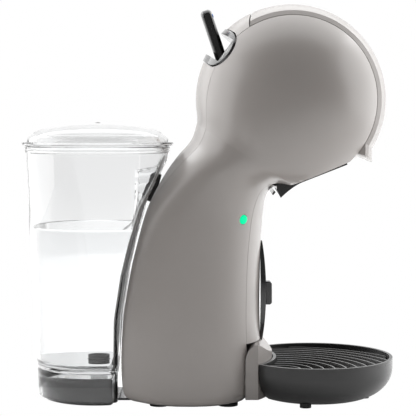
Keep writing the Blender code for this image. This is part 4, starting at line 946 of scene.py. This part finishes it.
housing = prism("lever_channel", slot_outline(39.65 * mm, 13.65 * mm), 42 * mm, 76 * mm, "XY")
housing.data.transform(lever_axes())
cut_with(housing, trimmed_head("housing_top", -0.9 * mm), "INTERSECT")
channel_low, channel_high = (-8.6 * mm, -50 * mm, 57.4 * mm), (9.4 * mm, 50 * mm, 90 * mm)
cut_with(housing, block("lever_channel_cut", channel_low, channel_high, lever_axes()))
PIN_AXIS = lever_upright() @ Matrix.Rotation(math.radians(90), 4, "Y")
PIN_BORE = 1.95 * mm
cut_with(housing, round_bar("lever_hub", 6.6 * mm, 4.4 * mm, 11 * mm, PIN_AXIS), "UNION")
gap = 4.2 * mm
cut_with(housing, block("lever_gap", (-gap, -30 * mm, -8.6 * mm), (gap, 30 * mm, 60 * mm), lever_upright()))
cut_with(housing, round_bar("pin_hole", PIN_BORE, -8.5 * mm, 8.5 * mm, PIN_AXIS, 32))
round_edges(housing, 0.6 * mm, 3)
place(housing, GLOSS_BLACK, "body", "black_gloss_plastic", "lever_housing")
print("housing faces:", len(housing.data.polygons))

# %% [markdown]
# The lever itself is a flat paddle: a round root on the pin, straight sides and a round
# tip, grown to its thickness and well rounded on both edges. A small blue and a small red
# dot are printed side by side on its front, near the tip.

# %% Lever and its two marks
def paddle_outline():
    """Round tip above, larger round root below."""
    half, root, tip = 5.5 * mm, 7.4 * mm, 32 * mm
    turns = [math.pi * step / 24 for step in range(25)]
    found = [(half * math.cos(turn), tip + half * math.sin(turn)) for turn in turns]
    return found + [(-root * math.cos(turn), -root * math.sin(turn)) for turn in turns]


def lever():
    bm = extruded([(-4 * mm, y, z) for y, z in paddle_outline()], (8 * mm, 0, 0))
    bmesh.ops.bevel(
        bm,
        geom=[edge for edge in bm.edges if edge.calc_face_angle(0) > 1.0],
        offset=3.0 * mm,
        segments=8,
        profile=0.5,
        affect="EDGES",
        material=-1,
        clamp_overlap=True,
    )
    bmesh.ops.transform(bm, matrix=lever_upright(), verts=bm.verts)
    return as_object("selector_paddle", bm)


paddle = lever()
cut_with(paddle, round_bar("lever_bore", PIN_BORE, -9 * mm, 9 * mm, PIN_AXIS, 32))
round_edges(paddle, 0.0)
place(paddle, GLOSS_BLACK, "lever", "black_gloss_plastic", "selector_lever")
MARKS = [("cold_mark", -1, BLUE, "blue_mark"), ("hot_mark", 1, RED, "red_mark")]
for name, side, look, slot_name in MARKS:
    spot = Matrix.Translation((3.8 * mm, side * 2.1 * mm, 32 * mm))
    spot @= Matrix.Rotation(math.radians(90), 4, "Y")
    dot = [(0, 0.55 * mm), (1.2 * mm, 0.5 * mm), (1.6 * mm, 0.25 * mm), (1.6 * mm, 0), (0, 0)]
    printed = turned(f"{name}_print", dot, lever_upright() @ spot, 40)
    round_edges(printed, 0.0)
    place(printed, look, "lever", slot_name, name)
print("lever faces:", len(paddle.data.polygons))

# %% [markdown]
# ## Under the head
#
# The pod holder is a drawer. Its underside continues the head's sloping underside and then
# hangs lower towards the rear, in a curved fin that gives the fingers a hold. The round
# pocket takes the pod, and the coffee leaves through the outlet under it.

# %% Pod holder
DRAWER_SLOPE = math.radians(14.5)
DRAWER_FRONT, DRAWER_REAR = 96.3 * mm, 47.6 * mm
FIN_TIP, FIN_DROP, DRAWER_PROUD = 50.4 * mm, 4.9 * mm, 1.5 * mm


def drawer_top(x):
    return 174.2 * mm - (x - DRAWER_FRONT) * math.tan(DRAWER_SLOPE)


def fin_drop(x):
    """How far the drawer's underside hangs below the head's: a curved fin at its rear."""
    share = min(1.0, max(0.0, (x - FIN_TIP) / (15 * mm)))
    return DRAWER_PROUD + FIN_DROP * (1 - share) ** 1.8


def drawer_outline():
    """The drawer from the side: fin and underside, then the sloping top."""
    steps = 28
    found = [(DRAWER_REAR, under_height(DRAWER_REAR) - 0.3 * mm)]
    for step in range(steps + 1):
        x = FIN_TIP + (DRAWER_FRONT - FIN_TIP) * step / steps
        found.append((x, under_height(x) - fin_drop(x)))
    return found + [(x, drawer_top(x) - SEAM) for x in (DRAWER_FRONT, DRAWER_REAR)]


def pod_axes():
    """The pod's centre on the drawer's top, with Z out of the drawer."""
    outward = Vector((math.sin(DRAWER_SLOPE), 0, math.cos(DRAWER_SLOPE)))
    turn = Vector((0, 0, 1)).rotation_difference(outward).to_matrix().to_4x4()
    return Matrix.Translation((72 * mm, 0, drawer_top(72 * mm))) @ turn


holder = prism("pod_drawer", drawer_outline(), -31 * mm, 31 * mm)
pocket = [(0, 5 * mm), (24.4 * mm, 5 * mm), (23 * mm, 0), (20.2 * mm, -15.8 * mm)]
pocket += [(19 * mm, -17 * mm), (0, -17 * mm)]
cut_with(holder, turned("pod_pocket", pocket, pod_axes()))
cut_with(holder, round_bar("pod_outlet", 9 * mm, -60 * mm, 0, pod_axes()))
round_edges(holder, 0.4 * mm, 3)
place(holder, GLOSS_BLACK, "drawer", "charcoal_plastic", "pod_holder")
stop_side = [(44.6 * mm, 148.3 * mm), (45.6 * mm, 147.4 * mm)]
stop_side += [(47.3 * mm, 149.6 * mm), (46.3 * mm, 150.6 * mm)]
stop = prism("drawer_stop", stop_side, -22 * mm, 22 * mm)
round_edges(stop, 0.3 * mm, 2)
place(stop, GLOSS_BLACK, "body", "black_gloss_plastic")
print("pod holder faces:", len(holder.data.polygons))

# %% [markdown]
# ## The water tank
#
# The tank is a clear bucket, wider at the top, with a front wall that follows the column's
# back. A pocket in that wall takes a hook on the column. Every level is the same ring of
# points, drawn as a circle softly limited by the front wall, so the outside, the rim, the
# inside, the floor and the hollow under it bridge into one closed wall.

# %% The tank's level rings
TANK_X = -78.4 * mm
TANK_LOW, TANK_HIGH, TANK_FLOOR = 4.5 * mm, 181.5 * mm, 26.6 * mm
TANK_WALL, TANK_GAP = 2.2 * mm, 2.6 * mm
WATER_LEVEL = 125 * mm


def eased(value):
    held = min(1.0, max(0.0, value))
    return held * held * (3 - 2 * held)


def column_rear(z):
    """The column's rear at this height, straight down below its furthest point."""
    spots = [(section[0], section[1]) for section in BODY[1:-3]]
    furthest = min(x for x, _ in spots)
    previous = (furthest, 0.0)
    for x, height in spots:
        x = furthest if height < 34 * mm else x
        if height >= z:
            share = (z - previous[1]) / (height - previous[1])
            return previous[0] + (x - previous[0]) * share
        before, previous = previous, (x, height)
    slope = (previous[0] - before[0]) / (previous[1] - before[1])
    return previous[0] + (z - previous[1]) * slope


def front_wall(y, z):
    """The tank's front wall, with its hook pocket and two soft upright waves."""
    plain_x = column_rear(z) - TANK_GAP
    pocket_x = min(plain_x, -49.3 * mm)
    depth = eased((10.5 * mm - abs(y)) / (2.5 * mm)) * eased((168 * mm - z) / (4 * mm))
    depth *= eased((z - 108 * mm) / (12 * mm))
    wave = 1.1 * mm * (1 - math.cos(math.tau * y / (30 * mm))) / 2
    return plain_x + (pocket_x - plain_x) * depth - wave * eased((z - 30 * mm) / (30 * mm))


def tank_radius(z):
    return 43.4 * mm + 8.2 * mm * (z - TANK_LOW) / (TANK_HIGH - TANK_LOW)


def tank_ring(z, inset=0.0, points=320):
    """A level ring of the tank, set in from its outside."""
    radius = tank_radius(z) - inset
    ring = []
    for step in range(points):
        turn = math.tau * step / points
        reach = radius
        if math.cos(turn) > 0.05:
            front = (front_wall(radius * math.sin(turn), z) - inset - TANK_X) / math.cos(turn)
            for _ in range(3):
                y = min(reach, front) * math.sin(turn)
                front = (front_wall(y, z) - inset - TANK_X) / math.cos(turn)
            reach = (radius**-30 + front**-30) ** (-1 / 30)
        ring.append(Vector((TANK_X + reach * math.cos(turn), reach * math.sin(turn), z)))
    return ring


def hole_ring(z, radius, points=320):
    turns = [math.tau * step / points for step in range(points)]
    return [Vector((TANK_X + radius * math.cos(turn), radius * math.sin(turn), z)) for turn in turns]


def levels(low, high, count):
    return [low + (high - low) * step / count for step in range(count + 1)]


print("tank level rings of 320 points")

# %% [markdown]
# The rim carries fine ribs. They are small changes of the inset from one level to the next.
# Bridging tells which way round two rings run from the step between their heights, so no
# two neighbouring rings are level: flat edges and the floor rise by a small crown instead.

# %% Water tank and water
CROWN = 0.1 * mm
FLOOR_FILLET = 4 * mm


def rim_inset(z):
    """Fine ribs just under the rim stand proud of the wall."""
    above = z - 176.5 * mm
    return -0.3 * mm * (0.5 - 0.5 * math.cos(math.tau * above / (2.2 * mm))) if above > 0 else 0.0


def water_tank():
    outside = levels(TANK_LOW + 0.8 * mm, 176.5 * mm, 90) + levels(176.7 * mm, 180.9 * mm, 40)
    rings = [hole_ring(TANK_FLOOR - TANK_WALL, 6.35 * mm)]
    rings.append(tank_ring(TANK_FLOOR - TANK_WALL - CROWN, TANK_WALL))
    rings.append(tank_ring(TANK_LOW + 0.3 * mm, TANK_WALL))
    rings.append(tank_ring(TANK_LOW + CROWN, TANK_WALL - 0.4 * mm))
    rings.append(tank_ring(TANK_LOW, TANK_WALL / 2))
    rings.append(tank_ring(TANK_LOW + CROWN, 0.4 * mm))
    rings += [tank_ring(z, rim_inset(z)) for z in outside]
    rings += [tank_ring(TANK_HIGH - CROWN, 0.5 * mm), tank_ring(TANK_HIGH, TANK_WALL / 2)]
    rings.append(tank_ring(TANK_HIGH - CROWN, TANK_WALL - 0.5 * mm))
    inside = levels(TANK_FLOOR + FLOOR_FILLET, TANK_HIGH - 0.5 * mm, 90)
    rings += [tank_ring(z, TANK_WALL) for z in reversed(inside)]
    for step in range(1, 9):
        turn = math.pi / 2 * step / 8
        sunk = FLOOR_FILLET * (1 - math.sin(turn))
        rings.append(tank_ring(TANK_FLOOR + sunk, TANK_WALL + FLOOR_FILLET * (1 - math.cos(turn))))
    rings.append(hole_ring(TANK_FLOOR - CROWN, 6.35 * mm))
    bm = skin([*rings, rings[0]], closed=True)
    bmesh.ops.recalc_face_normals(bm, faces=bm.faces)
    return as_object("clear_tank", bm)


def water_body():
    inset = TANK_WALL + 0.12 * mm
    rings = []
    for step in range(1, 9):
        turn = math.pi / 2 * (1 - step / 8)
        sunk = FLOOR_FILLET * (1 - math.cos(turn))
        rings.append(tank_ring(TANK_FLOOR + 0.15 * mm + sunk, inset + FLOOR_FILLET * math.sin(turn)))
    rings += [tank_ring(z, inset) for z in levels(TANK_FLOOR + 5 * mm, WATER_LEVEL, 60)]
    rings.append(tank_ring(WATER_LEVEL - 0.5 * mm, inset + 1.2 * mm))
    return as_object("tank_water", capped(skin(rings, closed=True)))


tank = water_tank()
round_edges(tank, 0.0)
place(tank, CLEAR_PLASTIC, "tank", "clear_plastic", "water_tank")
water = water_body()
round_edges(water, 0.0)
place(water, WATER, "tank", "clear_plastic")
print("tank faces:", len(tank.data.polygons), "water faces:", len(water.data.polygons))

# %% [markdown]
# The lid is a low clear dome in a flat flange, with a small raised mark in the middle where
# the plastic entered the mould.

# %% Tank lid
def lid_profile():
    """From the middle of the dome out to the flange, then back along the inside."""
    rim = TANK_HIGH + 0.35 * mm
    outer = [(0, rim + 16.25 * mm), (1.5 * mm, rim + 16.2 * mm), (2.1 * mm, rim + 15.85 * mm)]
    for step in range(1, 37):
        share = step / 36
        radius = 2.1 * mm + 48.2 * mm * math.sin(share * math.pi / 2)
        outer.append((radius, rim + 2.4 * mm + 13.4 * mm * math.cos(share * math.pi / 2) ** 0.85))
    outer += [(53.2 * mm, rim + 2.4 * mm), (53.8 * mm, rim + 1.9 * mm), (53.8 * mm, rim + 0.4 * mm)]
    outer += [(53.4 * mm, rim), (48.6 * mm, rim), (48.6 * mm, rim - 4 * mm), (46.8 * mm, rim - 4 * mm)]
    inner = []
    for step in range(33):
        share = 1 - step / 32
        radius = 46.8 * mm * math.sin(share * math.pi / 2)
        inner.append((radius, rim + 0.4 * mm + 13.1 * mm * math.cos(share * math.pi / 2) ** 0.85))
    return outer + inner


lid = turned("clear_lid", lid_profile(), Matrix.Translation((TANK_X, 0, 0)), 192)
outline = [(column_rear(z) - TANK_GAP - TANK_WALL - 0.7 * mm, z) for z in levels(170 * mm, 181.5 * mm, 3)]
outline += [(60 * mm, 181.5 * mm), (60 * mm, 170 * mm)]
cut_with(lid, prism("lid_plug_front", outline, -60 * mm, 60 * mm))
round_edges(lid, 0.25 * mm, 2)
place(lid, CLEAR_PLASTIC, "lid", "clear_plastic", "tank_lid")
print("lid faces:", len(lid.data.polygons))

# %% [markdown]
# Through the clear walls show the black base that the tank stands on, the outlet valve with
# its two small wings, and the hook on the column.

# %% Tank base, valve and hook
def base_ring(z, inset):
    return tank_ring(z, TANK_WALL + 1.2 * mm + inset, 160)


def tank_platform():
    low, high = 2.2 * mm, 22.2 * mm
    rings = [base_ring(low, 1 * mm), base_ring(low + 1 * mm, 0)]
    rings += [base_ring(z, 0) for z in levels(low + 3 * mm, high - 1.5 * mm, 8)]
    rings += [base_ring(high - CROWN, 1.5 * mm), base_ring(high, 4 * mm)]
    return as_object("tank_platform", capped(skin(rings, closed=True)))


platform = tank_platform()
bridge = block("platform_bridge", (-75 * mm, -20 * mm, 2.2 * mm), (-44 * mm, 20 * mm, 3.8 * mm))
cut_with(platform, bridge, "UNION")
valve_at = Matrix.Translation((TANK_X, 0, 0))
cut_with(platform, round_bar("valve_well", 7.2 * mm, 16.2 * mm, 30 * mm, valve_at))
round_edges(platform, 0.4 * mm)
place(platform, GLOSS_BLACK, "body", "charcoal_plastic", "tank_base")

nut = [(3 * mm, 30.2 * mm), (7.0 * mm, 30.2 * mm), (8.5 * mm, 28.9 * mm), (8.5 * mm, 27 * mm)]
nut += [(6 * mm, 27 * mm), (6 * mm, 22.9 * mm), (3 * mm, 22.9 * mm)]
valve = turned("outlet_valve", nut, valve_at, 6)
for side in (-1, 1):
    wing = block("valve_wing", (6 * mm, -1.6 * mm, 27.0 * mm), (14.5 * mm, 1.6 * mm, 29.2 * mm))
    wing.data.transform(valve_at @ Matrix.Rotation(math.radians(90 - 90 * side + 12), 4, "Z"))
    cut_with(valve, wing, "UNION")
round_edges(valve, 0.5 * mm)
place(valve, CHARCOAL, "tank", "charcoal_plastic", "tank_valve")

hook_side = [(-33 * mm, 161 * mm), (-39.5 * mm, 162 * mm), (-46.3 * mm, 147 * mm), (-45.6 * mm, 143.5 * mm)]
hook_side += [(-40.6 * mm, 141.5 * mm), (-36 * mm, 150 * mm)]
hook = prism("tank_hook", hook_side, -5 * mm, 5 * mm)
round_edges(hook, 1.1 * mm, 4)
place(hook, CHARCOAL, "body", "charcoal_plastic")
print("platform", len(platform.data.polygons), "valve", len(valve.data.polygons))

# %% [markdown]
# ## The drip tray
#
# The tray is a deep round bowl with a rolled rim, its back hollowed to fit the cradle. It
# stands on three small feet.

# %% Tray bowl
TRAY_R, TRAY_LOW, TRAY_HIGH, TRAY_WALL = 56 * mm, 1.4 * mm, 30.8 * mm, 2.2 * mm
TRAY_AT = Matrix.Translation(TRAY_CENTRE)


def bowl_profile(inset, low, high):
    """A bowl from the middle of its floor out and up, a quarter ellipse under a short wall."""
    outer, reach, rise = TRAY_R - inset, 28 * mm - inset, 22 * mm - inset
    found = [(0, low)]
    for step in range(21):
        turn = math.pi / 2 * step / 20
        found.append((outer - reach + reach * math.sin(turn), low + rise * (1 - math.cos(turn))))
    return found + [(outer, high)]


def tray_bowl():
    solid_shape = [*bowl_profile(0, TRAY_LOW, TRAY_HIGH), (0, TRAY_HIGH)]
    bowl = turned("drip_bowl", solid_shape, TRAY_AT, 256)
    cut_with(bowl, round_front("tray_back", 0.8 * mm))
    hollow_shape = [*bowl_profile(TRAY_WALL, TRAY_LOW + TRAY_WALL, 36 * mm), (0, 36 * mm)]
    hollow = turned("tray_hollow", hollow_shape, TRAY_AT, 256)
    cut_with(hollow, round_front("hollow_back", 3 * mm))
    cut_with(bowl, hollow)
    for x, y in ((112, 0), (68, 34), (68, -34)):
        at = Matrix.Translation((x * mm, y * mm, 0))
        cut_with(bowl, round_bar("tray_foot", 4 * mm, 0, 3.6 * mm, at), "UNION")
    return bowl


bowl = tray_bowl()
round_edges(bowl, 0.7 * mm, 4)
place(bowl, TRAY_BLACK, "tray", "black_gloss_plastic", "drip_tray")
print("bowl faces:", len(bowl.data.polygons))

# %% [markdown]
# The grid lies below the rim. Curved ridges sweep across a thin sieve plate, each one a
# narrow wall on a circle about the same corner, so drips run down between them.

# %% Drip grid
SWEEP = Vector((50 * mm, -42 * mm, 0))


def ridge_path(radius):
    """An arc about a point at the tray's near rear corner."""
    turns = [math.radians(-12 + 130 * step / 72) for step in range(73)]
    return [SWEEP + Vector((radius * math.cos(turn), radius * math.sin(turn), 0)) for turn in turns]


def ridge(radius, width, low, high):
    """A thin wall along the path, as one bridged strip closed at its ends."""
    path = ridge_path(radius)
    rings = []
    for index, spot in enumerate(path):
        ahead = path[min(index + 1, len(path) - 1)] - path[max(index - 1, 0)]
        side = Vector((-ahead.y, ahead.x, 0)).normalized() * (width / 2)
        top = side * 0.55
        rise_low, rise_high = Vector((0, 0, low)), Vector((0, 0, high))
        foot = [spot - side + rise_low, spot + side + rise_low]
        rings.append([*foot, spot + top + rise_high, spot - top + rise_high])
    return as_object("grid_ridge", capped(skin(rings, closed=True)))


def sieve():
    """The grid's plate, cut by curved slots between the ridges."""
    plate = round_bar("grid_plate", 53.4 * mm, 25.0 * mm, 26.4 * mm, TRAY_AT, 256)
    cut_with(plate, round_front("grid_back", 3.4 * mm))
    for radius in (11.5, 18.5, 25.5, 32.5, 39.5):
        for middle in (-62, 0, 62):
            cut_with(plate, arc_slot(radius * mm, 1.7 * mm, middle, 50))
    return plate


def arc_slot(radius, half_width, middle, reach):
    rings = []
    for step in range(13):
        turn = math.radians(middle - reach / 2 + reach * step / 12)
        across = Vector((math.cos(turn), math.sin(turn), 0))
        near = TRAY_CENTRE + across * (radius - half_width)
        far = TRAY_CENTRE + across * (radius + half_width)
        rings.append([near + Vector((0, 0, 20 * mm)), far + Vector((0, 0, 20 * mm))])
        rings[-1] += [far + Vector((0, 0, 32 * mm)), near + Vector((0, 0, 32 * mm))]
    return as_object("grid_slot", capped(skin(rings, closed=True)))


grid_plate = sieve()
round_edges(grid_plate, 0.25 * mm, 2)
place(grid_plate, GRID_BLACK, "grid", "black_gloss_plastic", "drip_grid")
for count in range(11):
    strip = ridge((14 + 8 * count) * mm, 1.7 * mm, 26.3 * mm, 28.6 * mm)
    bounds = round_bar("ridge_bounds", 53.2 * mm, 20 * mm, 40 * mm, TRAY_AT, 256)
    cut_with(bounds, round_front("ridge_back", 3.6 * mm))
    cut_with(strip, bounds, "INTERSECT")
    strip.name = f"grid_ridge_{count + 1}"
    round_edges(strip, 0.3 * mm, 2)
    # Each ridge gets the lighter grey of painted highlight instead of the grid's black.
    place(strip, RIDGE_PAINTED_HIGHLIGHT, "grid", "black_gloss_plastic")
print("grid faces:", len(grid_plate.data.polygons))

# %% [markdown]
# ## The small parts
#
# A black rail of lens-shaped outline runs up the front of the column and carries the hook
# for a raised tray. The power button is a small green lens with a soft edge.

# %% Rail, hook and power button
def lens_outline(half_width, half_height, middle):
    turns = [math.pi * (step / 48 - 0.5) for step in range(49)]
    near = [(half_width * math.cos(turn) ** 0.8, middle + half_height * math.sin(turn)) for turn in turns]
    return near + [(-y, z) for y, z in reversed(near[1:-1])]


RAIL_MIDDLE, BULGE = 78 * mm, 250 * mm
rail_face = [(37.3 * mm, y, z) for y, z in lens_outline(13 * mm, 36 * mm, RAIL_MIDDLE)]
rail = as_object("rail_plate", extruded(rail_face, (4.4 * mm, 0, 0)))
cut_with(rail, cradle_block(SEAM))
bulge_at = Matrix.Translation((41.2 * mm - BULGE, 0, RAIL_MIDDLE)) @ Matrix.Rotation(math.radians(90), 4, "X")
cut_with(rail, round_bar("rail_bulge", BULGE, -40 * mm, 40 * mm, bulge_at, 720), "INTERSECT")
round_edges(rail, 0.9 * mm, 4)
place(rail, GLOSS_BLACK, "body", "black_gloss_plastic", "front_rail")
hook_outline = [(41.0 * mm, 84.8 * mm), (44.4 * mm, 84.8 * mm), (45.8 * mm, 83 * mm)]
hook_outline += [(45.8 * mm, 69.5 * mm), (44.8 * mm, 68 * mm), (41.0 * mm, 68 * mm)]
tray_hook = prism("tray_hook", hook_outline, -4.5 * mm, 4.5 * mm)
round_edges(tray_hook, 0.9 * mm, 4)
place(tray_hook, GLOSS_BLACK, "body", "black_gloss_plastic", "rail_hook")

BUTTON_R, BUTTON_CROWN = 3.2 * mm, 0.75 * mm
profile = [(0, BUTTON_CROWN)]
for step in range(1, 8):
    turn = math.pi / 2 * step / 8
    profile.append((BUTTON_R * math.sin(turn) ** 0.7, BUTTON_CROWN * math.cos(turn) ** 1.2))
profile += [(BUTTON_R, -0.15 * mm), (BUTTON_R, -3.4 * mm), (0, -3.4 * mm)]
button = turned("button_lens", profile, button_axes(), 64)
round_edges(button, 0.0)
place(button, GREEN_LIGHT, "button", "green_light", "power_button")
print("button faces:", len(button.data.polygons))
